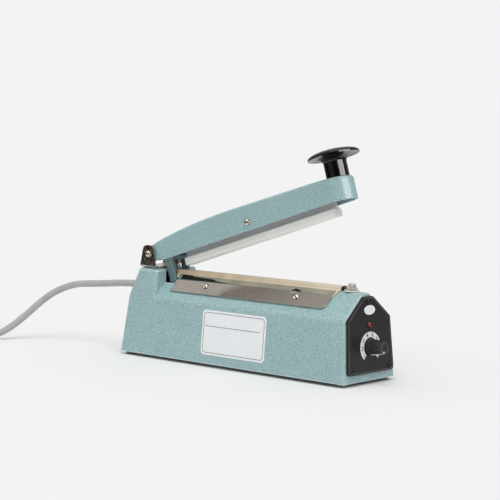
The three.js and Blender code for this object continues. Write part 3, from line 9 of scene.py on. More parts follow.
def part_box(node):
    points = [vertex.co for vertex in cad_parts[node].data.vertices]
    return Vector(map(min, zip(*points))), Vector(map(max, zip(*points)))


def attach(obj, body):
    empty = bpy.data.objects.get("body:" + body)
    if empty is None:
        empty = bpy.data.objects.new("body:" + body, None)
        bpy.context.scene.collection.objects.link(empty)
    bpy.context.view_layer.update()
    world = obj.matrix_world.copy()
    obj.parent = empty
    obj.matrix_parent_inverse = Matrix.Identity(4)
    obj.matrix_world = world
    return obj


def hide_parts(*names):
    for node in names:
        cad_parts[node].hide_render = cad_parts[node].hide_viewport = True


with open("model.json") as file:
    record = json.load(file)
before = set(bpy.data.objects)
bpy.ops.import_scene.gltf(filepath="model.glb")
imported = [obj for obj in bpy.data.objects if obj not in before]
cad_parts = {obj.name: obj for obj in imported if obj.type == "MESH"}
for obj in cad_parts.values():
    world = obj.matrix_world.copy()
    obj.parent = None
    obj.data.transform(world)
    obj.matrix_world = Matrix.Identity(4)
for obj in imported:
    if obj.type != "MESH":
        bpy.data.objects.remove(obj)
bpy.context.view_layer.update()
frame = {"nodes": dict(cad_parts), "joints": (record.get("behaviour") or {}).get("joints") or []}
scene = bpy.context.scene
MM = 0.001

# Camera: a long lens a little above the bench, turned 44 degrees from square on to the label wall.
# The picture is a square with no shift, so the lens is all that frames the sealer.
view_turn = math.radians(44.25)
view_rise = math.radians(5.43)
view_roll = math.radians(-0.10)
view_distance = 1627.3 * MM
view_target = Vector((-9.87, 0, 110.2)) * MM

back = Vector((math.sin(view_turn) * math.cos(view_rise), -math.cos(view_turn) * math.cos(view_rise),
               math.sin(view_rise)))
level_right = (-back).cross(Vector((0, 0, 1))).normalized()
level_up = level_right.cross(-back)
right = level_right * math.cos(view_roll) + level_up * math.sin(view_roll)
up = level_up * math.cos(view_roll) - level_right * math.sin(view_roll)



def having(thing, **settings):
    """A thing of the scene, with these settings."""
    for name, value in settings.items():
        setattr(thing, name, value)
    return thing


def add_object(name, data):
    """An object made from its data and put in the scene."""
    made = bpy.data.objects.new(name, data)
    scene.collection.objects.link(made)
    return made


def axes_at(origin, first, second, third):
    """A place whose three axes point these ways."""
    return Matrix.Translation(origin) @ Matrix((first, second, third)).transposed().to_4x4()


lens = having(bpy.data.cameras.new("camera"), lens=124.2, sensor_width=36, sensor_fit="HORIZONTAL",
              clip_start=50 * MM, clip_end=100)
scene.camera = having(add_object("camera", lens),
                      matrix_world=axes_at(view_target + back * view_distance, right, up, back))

# Studio: pale paper under and behind the sealer, one broad soft lamp overhead and an even room.
# Polished metal also sees the darker side of the room, and two light boxes that light nothing else.
scene.view_settings.view_transform = "Standard"


def linear(red, green, blue):
    """A colour read from 0 to 255 on a screen, as a shader wants it."""
    parts = [value / 255 for value in (red, green, blue)]
    return tuple(p / 12.92 if p <= 0.04045 else ((p + 0.055) / 1.055) ** 2.4 for p in parts) + (1.0,)


def add_node(tree, kind, inputs=None, **settings):
    """A shader node with its settings and the values or links of its inputs."""
    made = having(tree.nodes.new(kind), **settings)
    for name, value in (inputs or {}).items():
        if isinstance(value, bpy.types.NodeSocket):
            tree.links.new(value, made.inputs[name])
        else:
            made.inputs[name].default_value = value
    return made


def blend_colours(tree, share, first, second):
    """A mix of two colours by a share from 0 to 1."""
    mixed = add_node(tree, "ShaderNodeMix", data_type="RGBA")
    for place, value in ((0, share), (6, first), (7, second)):
        if isinstance(value, bpy.types.NodeSocket):
            tree.links.new(value, mixed.inputs[place])
        else:
            mixed.inputs[place].default_value = value
    return mixed.outputs[2]


def ramp(tree, value, low, high, start=0.0, end=1.0):
    """A value turned into a smooth rise from start to end between low and high."""
    return add_node(tree, "ShaderNodeMapRange", {
        "Value": value, "From Min": low, "From Max": high, "To Min": start, "To Max": end,
    }, interpolation_type="SMOOTHSTEP").outputs["Result"]


def arithmetic(tree, operation, first, second):
    """One sum of two values or links."""
    return add_node(tree, "ShaderNodeMath", {0: first, 1: second}, operation=operation).outputs[0]


def object_place(tree):
    """Where a point of the surface lies on its object, in metres."""
    return add_node(tree, "ShaderNodeTexCoord").outputs["Object"]


def feed(material, socket, value):
    """A socket of the material's shader, taken from a link."""
    tree = material.node_tree
    tree.links.new(value, tree.nodes["Principled BSDF"].inputs[socket])


paper_white = linear(236, 236, 236)
room_fill = (0.62, 0.62, 0.62, 1)
pale_wall = (0.57, 0.55, 0.54, 1)
dark_wall = (0.27, 0.25, 0.24, 1)
rear_corner = (0.46, 0.45, 0.43, 1)
ceiling = (1.5, 1.5, 1.5, 1)

studio = bpy.data.worlds.new("studio")
scene.world = studio
studio.use_nodes = True
sky = studio.node_tree
direction = add_node(sky, "ShaderNodeSeparateXYZ", {
    0: add_node(sky, "ShaderNodeTexCoord").outputs["Generated"]})
ray = add_node(sky, "ShaderNodeLightPath")
toward_front = ramp(sky, direction.outputs["X"], -0.55, 0.45)
overhead = ramp(sky, direction.outputs["Z"], 0.8, 0.93)
aside = arithmetic(sky, "SUBTRACT", direction.outputs["X"],
                   arithmetic(sky, "MULTIPLY", direction.outputs["Y"], 1.38))
rear_wall = blend_colours(sky, ramp(sky, aside, -0.6575, -0.6535), pale_wall, dark_wall)
rear_wall = blend_colours(sky, ramp(sky, aside, -0.653, -0.61), rear_wall, rear_corner)
front_wall = blend_colours(sky, ramp(sky, direction.outputs["Y"], 0.1, 0.5), linear(62, 62, 62),
                           linear(140, 140, 140))
room = blend_colours(sky, toward_front, rear_wall, front_wall)
room = blend_colours(sky, overhead, room, ceiling)
fill = blend_colours(sky, ray.outputs["Is Glossy Ray"], room_fill, room)
seen = blend_colours(sky, ray.outputs["Is Camera Ray"], fill, linear(243, 243, 243))
sky.links.new(seen, sky.nodes["Background"].inputs["Color"])

lamp = having(bpy.data.lights.new("overhead_lamp", "SUN"), energy=1.55, angle=math.radians(50))
lamp_lean = Vector((0.35, -0.30, 1)).to_track_quat("Z", "Y")
having(add_object("overhead_lamp", lamp), rotation_euler=lamp_lean.to_euler(), visible_glossy=False)

for name, place, width, height, power in (
    ("front_light_box", Vector((1480, -35, 780)) * MM, 1.47, 0.5, 20.5),
    ("side_light_box", Vector((-700, -1700, 1100)) * MM, 0.7, 0.5, 7),
):
    light_box = having(bpy.data.lights.new(name, "AREA"), shape="RECTANGLE", size=width, size_y=height,
                       energy=power)
    aim = (place - view_target).to_track_quat("Z", "Y")
    having(add_object(name, light_box), location=place, rotation_euler=aim.to_euler(), visible_diffuse=False)

square_corners = ((-1, -1), (1, -1), (1, 1), (-1, 1))
paper_data = bpy.data.meshes.new("paper_floor")
paper_reach = 15
paper_data.from_pydata([(x * paper_reach, y * paper_reach, 0) for x, y in square_corners], [], [(0, 1, 2, 3)])
paper = add_object("paper_floor", paper_data)
paper_finish = bpy.data.materials.new("white_paper")
paper_finish.use_nodes = True
tree = paper_finish.node_tree
spot = object_place(tree)
away = add_node(tree, "ShaderNodeVectorMath", {0: spot}, operation="LENGTH").outputs["Value"]
aside = add_node(tree, "ShaderNodeSeparateXYZ", {0: spot}).outputs["Y"]
ray = add_node(tree, "ShaderNodeLightPath")
# Seen by glossy rays, the paper is painted darker from 0.35 m out, darkest towards the near side: painted
# shade for what polished metal reflects.
beyond = arithmetic(tree, "MULTIPLY", ramp(tree, away, 0.35, 0.9), ray.outputs["Is Glossy Ray"])
far_shade = blend_colours(tree, ramp(tree, aside, -0.3, 0.1), linear(54, 47, 40), linear(128, 124, 116))
paper_shader = tree.nodes["Principled BSDF"]
paper_shader.inputs["Roughness"].default_value = 0.9
paper_shader.inputs["Specular IOR Level"].default_value = 0.0
feed(paper_finish, "Base Color", blend_colours(tree, beyond, paper_white, far_shade))
paper_data.materials.append(paper_finish)

# Mains lead: a round grey rubber sheath that leaves the rear wall level, sags to the bench and is
# put away in a flat coil of two layers. One unbroken curve stands for the free stretch and the coil.
housing_low, housing_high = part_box("housing")
middle_x = (housing_low[0] + housing_high[0]) / 2
cord_radius = 3.5 * MM
coil_outer_radius = 50 * MM
coil_pitch = 7.5 * MM
coil_lift = 1.2 * MM
coil_turns = 6.35
coil_climb_turns = 0.5
coil_tail = 16 * MM
coil_clearance = 0.3 * MM
route_millimetres = (
    (-161.3, 0, 65.8), (-170, -0.1, 65.5), (-184, -0.8, 64.7), (-198, -1.9, 63.4), (-212, -3.3, 62.1),
    (-226, -5.4, 61.1), (-240, -8, 59.9), (-251, -10.6, 57.6), (-261, -13.8, 54), (-270, -17.6, 49.4),
    (-278, -22, 43.6), (-285, -27.4, 36.6), (-291, -33.6, 29), (-296.6, -40.6, 21.5), (-301.6, -48.2, 14.6),
    (-306.8, -56.2, 8.9), (-312.8, -64.4, 5.3), (-320.2, -72.4, 3.8), (-328.6, -79.8, 3.7), (-338, -86.8, 4),
    (-347.6, -93.6, 4.6), (-358, -101, 4.7),
)


def clamped(share):
    """A share kept between 0 and 1."""
    return min(max(share, 0), 1)


def smooth_line(points, steps):
    """A dense line that passes smoothly through the points."""
    line = []
    last = len(points) - 1
    for i in range(last):
        before, start = points[max(i - 1, 0)], points[i]
        end, after = points[i + 1], points[min(i + 2, last)]
        for step in range(steps):
            t = step / steps
            line.append(0.5 * (2 * start + (end - before) * t
                               + (2 * before - 5 * start + 4 * end - after) * t ** 2
                               + (3 * start - before - 3 * end + after) * t ** 3))
    return line + [points[last]]


route = [Vector(point) * MM + Vector((middle_x, 0, 0)) for point in route_millimetres]
heading = (route[-1] - route[-2]).normalized()
heading.z = 0
coil_centre = (route[-1] + Vector((heading.y, -heading.x, 0)) * coil_outer_radius
               + heading * (coil_clearance + 2 * cord_radius))
coil_start = math.atan2(heading.x, -heading.y)


def coil_point(turn):
    """A point of the coil, which winds inwards, climbs a layer and winds out again."""
    radius = coil_outer_radius - coil_pitch * min(turn, coil_turns - turn)
    share = clamped((turn - coil_turns / 2) / coil_climb_turns + 0.5)
    climb = share * share * (3 - 2 * share)
    angle = coil_start - turn * 2 * math.pi
    return Vector((coil_centre.x + radius * math.cos(angle), coil_centre.y + radius * math.sin(angle),
                   cord_radius + coil_lift + coil_pitch * climb))


coil_samples = round(coil_turns * 48)
coil = [coil_point(coil_turns * i / coil_samples) for i in range(coil_samples + 1)]
coil_end_angle = coil_start - coil_turns * 2 * math.pi
tail_heading = Vector((math.sin(coil_end_angle), -math.cos(coil_end_angle), 0))
coil_end = [coil[-1] + tail_heading * coil_tail * step / 4 for step in (1, 2, 3, 4)]
lead_line = smooth_line(route, 6) + coil[1:] + coil_end

lead_curve = having(bpy.data.curves.new("mains_lead", "CURVE"), dimensions="3D", bevel_depth=cord_radius,
                    bevel_resolution=5, use_fill_caps=True)
spline = lead_curve.splines.new("POLY")
spline.points.add(len(lead_line) - 1)
for point, place in zip(spline.points, lead_line):
    point.co = (*place, 1)
mains_lead = add_object("mains_lead", lead_curve)


def noise_at(tree, place, scale, detail, distortion=0.0, output="Fac"):
    """Cloudy noise, from 0 to 1, at a place."""
    return add_node(tree, "ShaderNodeTexNoise", {
        "Vector": place, "Scale": scale, "Detail": detail, "Distortion": distortion}).outputs[output]


def speckle(material, size, detail=2.0, distortion=0.0):
    """Even noise over a piece, from 0 to 1, with grains of that size in millimetres."""
    tree = material.node_tree
    return noise_at(tree, object_place(tree), 1 / (size * MM), detail, distortion)


def tint(material, share, dark, light):
    """The shader's colour, from dark to light by a share."""
    feed(material, "Base Color", blend_colours(material.node_tree, share, linear(*dark), linear(*light)))


def dull(material, share, low, high):
    """The shader's roughness, from low to high by a share."""
    feed(material, "Roughness", ramp(material.node_tree, share, 0.3, 0.7, low, high))


def raise_surface(material, height, depth, strength):
    """Fine relief of that depth in millimetres from a height of 0 to 1."""
    relief = add_node(material.node_tree, "ShaderNodeBump", {
        "Height": height, "Distance": depth * MM, "Strength": strength})
    feed(material, "Normal", relief.outputs["Normal"])


def new_finish(name, colours, roughness, metallic=0.0, relief=None, **settings):
    """A material. Its colours and its roughness are each one even value, or the two ends of a speckle with
    the grain's size, detail and distortion. Its relief is a depth and a strength with the same three."""
    material = bpy.data.materials.new(name)
    material.use_nodes = True
    shader = material.node_tree.nodes["Principled BSDF"]
    two_tone = isinstance(colours[0], tuple)
    two_gloss = isinstance(roughness, tuple)
    shader.inputs["Base Color"].default_value = linear(*(colours[1] if two_tone else colours))
    shader.inputs["Roughness"].default_value = roughness[0] if two_gloss else roughness
    shader.inputs["Metallic"].default_value = metallic
    for socket, value in settings.items():
        shader.inputs[socket.replace("_", " ")].default_value = value
    if two_tone:
        tint(material, speckle(material, *colours[2:]), *colours[:2])
    if two_gloss:
        dull(material, speckle(material, *roughness[2:]), *roughness[:2])
    if relief:
        raise_surface(material, speckle(material, *relief[2:]), *relief[:2])
    return material


sheath_grey = new_finish("grey_sheath", ((161, 161, 163), (180, 180, 181), 14), 0.5, relief=(0.06, 0.5, 0.5))
lead_curve.materials.append(sheath_grey)
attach(mains_lead, "base")
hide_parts("power_cord", "cord_coil")

# Strain relief: one grey rubber moulding on the lead, with a collar outside the rear wall and a
# tapered tail whose cuts let it bend.


def mesh_of(name, form):
    """A mesh from a bmesh, with every face turned outwards."""
    data = bpy.data.meshes.new(name)
    bmesh.ops.recalc_face_normals(form, faces=form.faces)
    form.to_mesh(data)
    form.free()
    return data


def new_piece(name, form, material, body, replaced=(), crease=35):
    """A new piece from a bmesh, riding on a body and standing for the nodes that it replaces."""
    data = mesh_of(name, form)
    data.materials.append(material)
    data.shade_smooth()
    data.set_sharp_from_angle(angle=math.radians(crease))
    piece = add_object(name, data)
    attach(piece, body)
    if replaced:
        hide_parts(*replaced)
    return piece


def skin(form, rings, closed=False):
    """Faces between rings of points, with a cap on both ends unless the rings close on themselves."""
    rows = [[form.verts.new(point) for point in ring] for ring in rings]
    pairs = list(zip(rows, rows[1:])) + ([(rows[-1], rows[0])] if closed else [])
    for first, second in pairs:
        for i in range(len(first)):
            j = (i + 1) % len(first)
            form.faces.new((first[i], first[j], second[j], second[i]))
    if not closed:
        form.faces.new(list(reversed(rows[0])))
        form.faces.new(rows[-1])


def around(count):
    """The cosine and sine of even steps round a circle."""
    angles = [2 * math.pi * i / count for i in range(count)]
    return [(math.cos(angle), math.sin(angle)) for angle in angles]


def spun(profile, segments):
    """A turned solid about Z from its radius and height at each step, closed at both ends."""
    form = bmesh.new()
    skin(form, [[(radius * c, radius * s, z) for c, s in around(segments)] for radius, z in profile])
    return form


relief_low, relief_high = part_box("strain_relief")
relief_length = relief_high[0] - relief_low[0]
collar_depth = 16 * MM
collar_width = 2.4 * MM
collar_radius = relief_high[1]
neck_radius = 5.6 * MM
neck_length = relief_high[0] - housing_low[0] - collar_depth
tail_start = neck_length + collar_width
tail_narrowing = 1.5 * MM
tail_cuts = 5
cut_pitch = (relief_length - tail_start) / tail_cuts
relief_profile = [(neck_radius - 0.2 * MM, 0), (neck_radius, 0.4 * MM), (neck_radius, neck_length),
                  (collar_radius - 0.4 * MM, neck_length), (collar_radius, neck_length + 0.4 * MM),
                  (collar_radius, tail_start - 0.4 * MM), (collar_radius - 0.5 * MM, tail_start)]
for cut in range(tail_cuts):
    start = tail_start + cut * cut_pitch
    outside = neck_radius - tail_narrowing * cut / tail_cuts
    relief_profile += [(outside - depth * MM, start + share * cut_pitch)
                       for depth, share in ((0, 0.1), (0.12, 0.62), (1.0, 0.68), (1.1, 0.92))]
tail_radius = neck_radius - tail_narrowing
relief_profile += [(tail_radius, relief_length - 0.4 * MM), (tail_radius - 0.3 * MM, relief_length)]
relief_form = spun(relief_profile, 48)
relief_place = Matrix.Translation((relief_high[0], 0, lead_line[0].z))
relief_form.transform(relief_place @ Matrix.Rotation(-math.pi / 2, 4, "Y"))
relief_grey = sheath_grey.copy()
relief_grey.name = "grey_relief_rubber"
strain_relief = new_piece("strain_relief_tail", relief_form, relief_grey, "base", ["strain_relief"])

# Tie: a flat black hook-and-loop band, woven of nylon with a rough face. It is wrapped round all the
# turns of the coil and closed on itself.


def break_edges(piece, width, segments, crease, **settings):
    """Every edge of a piece that is sharper than the crease, broken by a small bevel."""
    having(piece.modifiers.new("broken_edges", "BEVEL"), width=width, segments=segments, limit_method="ANGLE",
           angle_limit=math.radians(crease), use_clamp_overlap=False, **settings)


def dress(names, material, edge, segments=2):
    """A CAD node's finish, with its sharp edges broken by the width that its making leaves."""
    for name in [names] if isinstance(names, str) else names:
        node = frame["nodes"][name]
        if not node.material_slots:
            node.data.materials.append(material)
        for place in node.material_slots:
            place.link = "OBJECT"
            place.material = material
        node.data.shade_smooth()
        if edge:
            having(node.modifiers.new("flat_faces", "DECIMATE"), decimate_type="DISSOLVE",
                   angle_limit=math.radians(0.5))
            break_edges(node, edge, segments, 32, miter_outer="MITER_ARC")
        having(node.modifiers.new("even_shading", "WEIGHTED_NORMAL"), keep_sharp=True)


tie_black = new_finish("black_band", ((22, 22, 24), (44, 44, 47), 1.2), 0.8, relief=(0.25, 0.8, 0.6, 3.0),
                       Sheen_Weight=0.3)
dress("cord_tie", tie_black, 0.2 * MM)

# Plug: black moulded body with a waist for the fingers and a ribbed tail, two flat blades and a
# round earth pin of nickelled brass.
plug_axis = tail_heading
plug_start = coil[-1] + tail_heading * (coil_tail + coil_clearance)
plug_side = Vector((-plug_axis.y, plug_axis.x, 0))
plug_tail = 18 * MM
plug_body = 26 * MM
plug_half_width = 13.2 * MM
plug_half_height = 11.9 * MM
blade_spacing = 12.7 * MM
blade_length = 17 * MM
blade_height = 6.3 * MM
blade_thickness = 1.5 * MM
pin_radius = 2.4 * MM
pin_drop = 6 * MM
plug_place = axes_at(plug_start, plug_axis, plug_side, (0, 0, 1))


def plug_ring(x, half_width, half_height, squareness):
    """A ring of the moulding, from round at a squareness of 1 towards a square as it falls."""
    return [(x, math.copysign(abs(c) ** squareness, c) * half_width,
             math.copysign(abs(s) ** squareness, s) * half_height) for c, s in around(48)]


plug_black = new_finish("black_plug_moulding", (26, 26, 28), (0.36, 0.5, 9), relief=(0.05, 0.5, 0.5))
plug_form = bmesh.new()
plug_rings = []
tail_ribs = 4
rib_pitch = plug_tail / (tail_ribs + 1)
for rib in range(tail_ribs):
    for share, inset in ((0.05, 0.2), (0.2, 0), (0.62, 0), (0.72, 0.9), (0.95, 0.9)):
        size = (4.6 + 0.5 * rib - inset) * MM
        plug_rings.append(plug_ring((rib + share) * rib_pitch, size, size, 1.0))
# Each step of the body: place along it, share of the half width and half height, and squareness.
for share, wide, high, squareness in (
    (0.0, 0.50, 0.55, 1.0), (0.12, 0.60, 0.64, 0.8), (0.25, 0.76, 0.76, 0.62), (0.38, 0.90, 0.88, 0.55),
    (0.5, 0.985, 0.97, 0.5), (0.64, 0.95, 0.94, 0.5), (0.76, 0.955, 0.95, 0.5), (0.86, 0.99, 0.985, 0.5),
    (0.96, 1.0, 1.0, 0.5), (0.99, 0.985, 0.98, 0.5), (1.0, 0.94, 0.93, 0.5),
):
    plug_rings.append(plug_ring(plug_tail + share * plug_body, wide * plug_half_width,
                                high * plug_half_height, squareness))
skin(plug_form, plug_rings)
plug_form.transform(plug_place)
plug_moulding = new_piece("plug_moulding", plug_form, plug_black, "base", ["plug"], 40)

pin_nickel = new_finish("nickelled_pins", (205, 198, 184), (0.18, 0.34, 3, 3.0), 1.0)
pins_form = bmesh.new()
face_x = plug_tail + plug_body - 0.6 * MM
tip_x = plug_tail + plug_body + blade_length
for side in (-1, 1):
    blade_place = Matrix.Translation(((face_x + tip_x) / 2, side * blade_spacing / 2, blade_height / 2))
    blade_size = Matrix.Diagonal((tip_x - face_x, blade_thickness, blade_height, 1))
    blade = bmesh.ops.create_cube(pins_form, size=1, matrix=blade_place @ blade_size)
    edges = list({edge for vertex in blade["verts"] for edge in vertex.link_edges})
    bmesh.ops.bevel(pins_form, geom=edges, offset=0.45 * MM, segments=2, profile=0.5, affect="EDGES")
pin = spun([(pin_radius, face_x), (pin_radius, tip_x - 2.2 * MM), (pin_radius * 0.86, tip_x - 0.9 * MM),
            (pin_radius * 0.5, tip_x - 0.15 * MM), (pin_radius * 0.2, tip_x)], 32)
pin.transform(Matrix.Translation((0, 0, -pin_drop)) @ Matrix.Rotation(math.pi / 2, 4, "Y"))
pins_form.from_mesh(mesh_of("earth_pin", pin))
pins_form.transform(plug_place)
plug_pins = new_piece("plug_pins", pins_form, pin_nickel, "base", ())

# Housing and arm finish: both are die castings in one grey-green hammered enamel, whose surface
# draws into shallow cells and a mottle about a millimetre wide. It is paler along every edge, partly
# from wear and partly as a painted highlight where the rounded edges catch the light.


def wear_edges(material, toned, wear_and_highlight_tone, radius):
    """A paler tone wherever the surface turns an edge, within that radius of it; part wear, part painted
    highlight.
    """
    tree = material.node_tree
    rounded = add_node(tree, "ShaderNodeBevel", {"Radius": radius}, samples=6).outputs["Normal"]
    plain = add_node(tree, "ShaderNodeNewGeometry").outputs["Normal"]
    facing = add_node(tree, "ShaderNodeVectorMath", {0: rounded, 1: plain}, operation="DOT_PRODUCT")
    # Share of the paler edge tone: partly wear, partly a painted highlight on the edge.
    wear_and_highlight = ramp(tree, facing.outputs["Value"], 0.997, 0.95, 0.0, 0.8)
    feed(material, "Base Color", blend_colours(tree, wear_and_highlight, toned, linear(*wear_and_highlight_tone)))


def enamel(name):
    """Hammered enamel: drawn cells, a mottle with a faint cloud over it, and paler edges of wear and painted
    highlight.
    """
    material = new_finish(name, (170, 200, 201), 0.36, Coat_Weight=0.25, Coat_Roughness=0.18)
    tree = material.node_tree
    dark = linear(136, 167, 169)
    place = object_place(tree)
    wander = noise_at(tree, place, 420.0, 2.0, output="Color")
    bend = add_node(tree, "ShaderNodeVectorMath", {0: wander, "Scale": 1.1 * MM}, operation="SCALE")
    moved = add_node(tree, "ShaderNodeVectorMath", {0: place, 1: bend.outputs[0]}, operation="ADD").outputs[0]
    cells = add_node(tree, "ShaderNodeTexVoronoi", {"Vector": moved, "Scale": 900.0, "Smoothness": 0.55},
                     feature="SMOOTH_F1").outputs["Distance"]
    raise_surface(material, ramp(tree, cells, 0.05, 0.6), 0.13, 0.55)
    mottle = ramp(tree, noise_at(tree, moved, 1000.0, 1.0), 0.42, 0.58)
    cloud = ramp(tree, noise_at(tree, place, 22.0, 3.0), 0.3, 0.75, 0.0, 0.25)
    toned = blend_colours(tree, cloud, blend_colours(tree, mottle, dark, linear(170, 200, 201)), dark)
    # Edges painted pale, close to the highlight's own colour: part wear, part painted highlight.
    wear_edges(material, toned, (216, 234, 237), 1.4 * MM)
    return material


# Housing: one die casting, open below, with a gabled roof, a flat ridge for the seal bed and a
# raised block behind it that carries the hinge. The legs of the arm pass through its slot.
dress("housing", enamel("hammered_enamel"), 0.4 * MM)
eaves_half = 29.8 * MM
eaves_height = 59 * MM
ridge_half = 4.8 * MM
ridge_height = 81.2 * MM
foot_height = housing_low[2]

# Base plate and feet: folded steel under the casting, held with the four feet by screws that go
# up through the rubber into bosses in the corners.
zinc = new_finish("zinc_plate", ((150, 152, 156), (182, 182, 180), 6, 3.0, 0.4), (0.28, 0.46, 2.5, 4.0), 1.0)
dress("base_plate", zinc, 0.15 * MM)
foot_rubber = new_finish("grey_foot_rubber", ((106, 109, 109), (126, 129, 129), 3), 0.75,
                         relief=(0.06, 0.6, 0.4))
corners = [f"{end}_{side}" for end in ("rear", "front") for side in ("near", "far")]
dress([f"rubber_foot_{corner}" for corner in corners], foot_rubber, 0.3 * MM)

# Screws: pan heads with a cross recess, cold formed in steel and then nickelled, zinc-plated or
# blacked. They are all made alike, in four sizes, each in the place of its CAD solid.


def shaft_frame(node, axis):
    """The centre line of a CAD screw, the directions across it, and its two ends along its axis."""
    axis = Vector(axis).normalized()
    side = axis.orthogonal().normalized()
    other = axis.cross(side)
    points = [vertex.co for vertex in frame["nodes"][node].data.vertices]
    spans = [(min(p.dot(d) for p in points), max(p.dot(d) for p in points)) for d in (side, other, axis)]
    centre = side * sum(spans[0]) / 2 + other * sum(spans[1]) / 2
    return centre, axis, side, other, spans[2]


def cross_screw(name, node, axis, sizes, material, turn=20, recess=0.62, body="base"):
    """A pan-head screw with a tapered cross recess, turned by some degrees from its side direction."""
    centre, axis, side, other, (low, high) = shaft_frame(node, axis)
    head_radius, head_height, shank_radius = [size * MM for size in sizes]
    end = low - high + head_height
    dome = ((1.0, 0.28), (0.97, 0.46), (0.9, 0.62), (0.76, 0.8), (0.52, 0.93), (0.26, 0.99), (0.06, 1.0))
    profile = [(shank_radius * 0.8, end), (shank_radius, end + 0.5 * MM), (shank_radius, 0), (head_radius, 0)]
    profile += [(head_radius * share, head_height * rise) for share, rise in dome]
    arm = head_radius * recess
    web = head_radius * 0.13
    cutter = bmesh.new()
    for quarter in (0, 1):
        spin = Matrix.Rotation(math.radians(turn) + quarter * math.pi / 2, 3, "Z")
        skin(cutter, [[spin @ Vector((x * reach, y * wide, z)) for x, y in square_corners]
                      for reach, wide, z in ((arm * 0.45, web * 0.6, head_height * 0.38),
                                             (arm, web, head_height * 1.4))])
    blank = add_object("blank", mesh_of("blank", spun(profile, 40)))
    tool = add_object("recess", mesh_of("recess", cutter))
    having(blank.modifiers.new("recess", "BOOLEAN"), object=tool, operation="DIFFERENCE", solver="EXACT",
           use_self=True)
    scene_now = bpy.context.evaluated_depsgraph_get()
    cut = bpy.data.meshes.new_from_object(blank.evaluated_get(scene_now))
    form = bmesh.new()
    form.from_mesh(cut)
    for data in (blank.data, tool.data, cut):
        bpy.data.meshes.remove(data)
    form.transform(axes_at(centre + axis * (high - head_height), side, other, axis))
    new_piece(name, form, material, body, [node], 30)


# Head radius, head height and shank radius in millimetres.
cover_screw = (2.9, 1.2, 1.5)
deck_screw = (3.0, 1.2, 2.0)
clamp_screw = (3.4, 2.0, 1.5)
pivot_bolt = (3.3, 2.1, 2.0)
bright_nickel = new_finish("bright_nickel", (212, 206, 196), (0.08, 0.18, 5, 4.0), 1.0)
black_screw = new_finish("blacked_screw", (34, 34, 36), (0.32, 0.5, 1.5, 3.0), 0.4)
for corner in corners:
    cross_screw(f"foot_screw_head_{corner}", f"foot_screw_{corner}", (0, 0, -1), cover_screw, zinc)

# Control panel: a satin black steel plate with a bevelled outline, screwed to the leaning front wall.
# A pressed bead runs round it inside the edge, coloured pale grey as a painted highlight of the edge,
# and its dial is a thin print.
front_setback = 3.2 * MM
front_lean = math.atan2(front_setback, eaves_height - foot_height)
front_frame = Matrix.Translation((housing_high[0], 0, foot_height)) @ Matrix.Rotation(-front_lean, 4, "Y")
panel_face = 2.7 * MM
dial_rise = 30 * MM
panel_black = new_finish("satin_black_panel", (34, 34, 36), (0.3, 0.42, 12, 3.0), relief=(0.04, 0.5, 0.35),
                         Specular_IOR_Level=0.3)
dress("control_panel", panel_black, 0.5 * MM)
front_out = front_frame.to_3x3() @ Vector((1, 0, 0))
for place in ("top", "near", "far"):
    cross_screw(f"panel_screw_head_{place}", f"panel_screw_{place}", front_out, cover_screw, black_screw,
                35)

bead_inset = 1.3 * MM
bead_half = 0.3 * MM
bead_lift = 0.22 * MM
to_front = front_frame.inverted()
face_points = [(to_front @ vertex.co) for vertex in frame["nodes"]["control_panel"].data.vertices]
face_points = [(place.y, place.z) for place in face_points if abs(place.x - panel_face) < 0.05 * MM]
hull = [Vector(face_points[i]) for i in geometry.convex_hull_2d(face_points)]
outline = [here for i, here in enumerate(hull) if (here - hull[i - 1]).length > 0.1 * MM]
bead_form = bmesh.new()
bead_rings = []
for i, here in enumerate(outline):
    before = (here - outline[i - 1]).normalized()
    after = (outline[(i + 1) % len(outline)] - here).normalized()
    inward = Vector((-before.y - after.y, before.x + after.x)).normalized()
    stretch = 1 / inward.dot(Vector((-before.y, before.x)))
    bead_rings.append([])
    for off, lift in ((-bead_half, 0), (0, bead_lift), (bead_half, 0)):
        across, rise = here + inward * stretch * (bead_inset + off)
        bead_rings[-1].append(front_frame @ Vector((panel_face + lift, across, rise)))
skin(bead_form, bead_rings, closed=True)
# The bead's pale grey on the black plate is a painted highlight along the panel's edge.
bead_highlight_grey = new_finish("panel_bead_highlight", ((82, 82, 84), (104, 104, 106), 3), 0.25)
new_piece("panel_bead_highlight", bead_form, bead_highlight_grey, "base", crease=20)

print_lift = 0.12 * MM
printed_white = new_finish("printed_white", ((220, 222, 224), (232, 233, 235), 4), 0.5)
printed_red = new_finish("printed_red", ((186, 34, 38), (204, 48, 50), 2), 0.5)
printed_black = new_finish("printed_black", ((24, 24, 26), (36, 36, 38), 2), 0.5)


def panel_point(right_y, rise, lift):
    """A point on the panel's face, from the middle line and the height up the wall."""
    return front_frame @ Vector((panel_face + lift, right_y, rise))


def dial_point(radius, angle, lift):
    """A point on the panel about the dial's centre, with the angle clockwise from the top."""
    return panel_point(radius * math.sin(angle), dial_rise + radius * math.cos(angle), lift)


dial_outer = 13.8 * MM
dial_inner = 8.8 * MM
dial_sweep = math.radians(138)
dial_steps = 72
dial_form = bmesh.new()
skin(dial_form, [[dial_point(radius, dial_sweep * (2 * i / dial_steps - 1), lift) for radius, lift in (
    (dial_outer, 0), (dial_outer, print_lift), (dial_inner, print_lift), (dial_inner, 0))]
    for i in range(dial_steps + 1)])
new_piece("dial_band", dial_form, printed_white, "base")

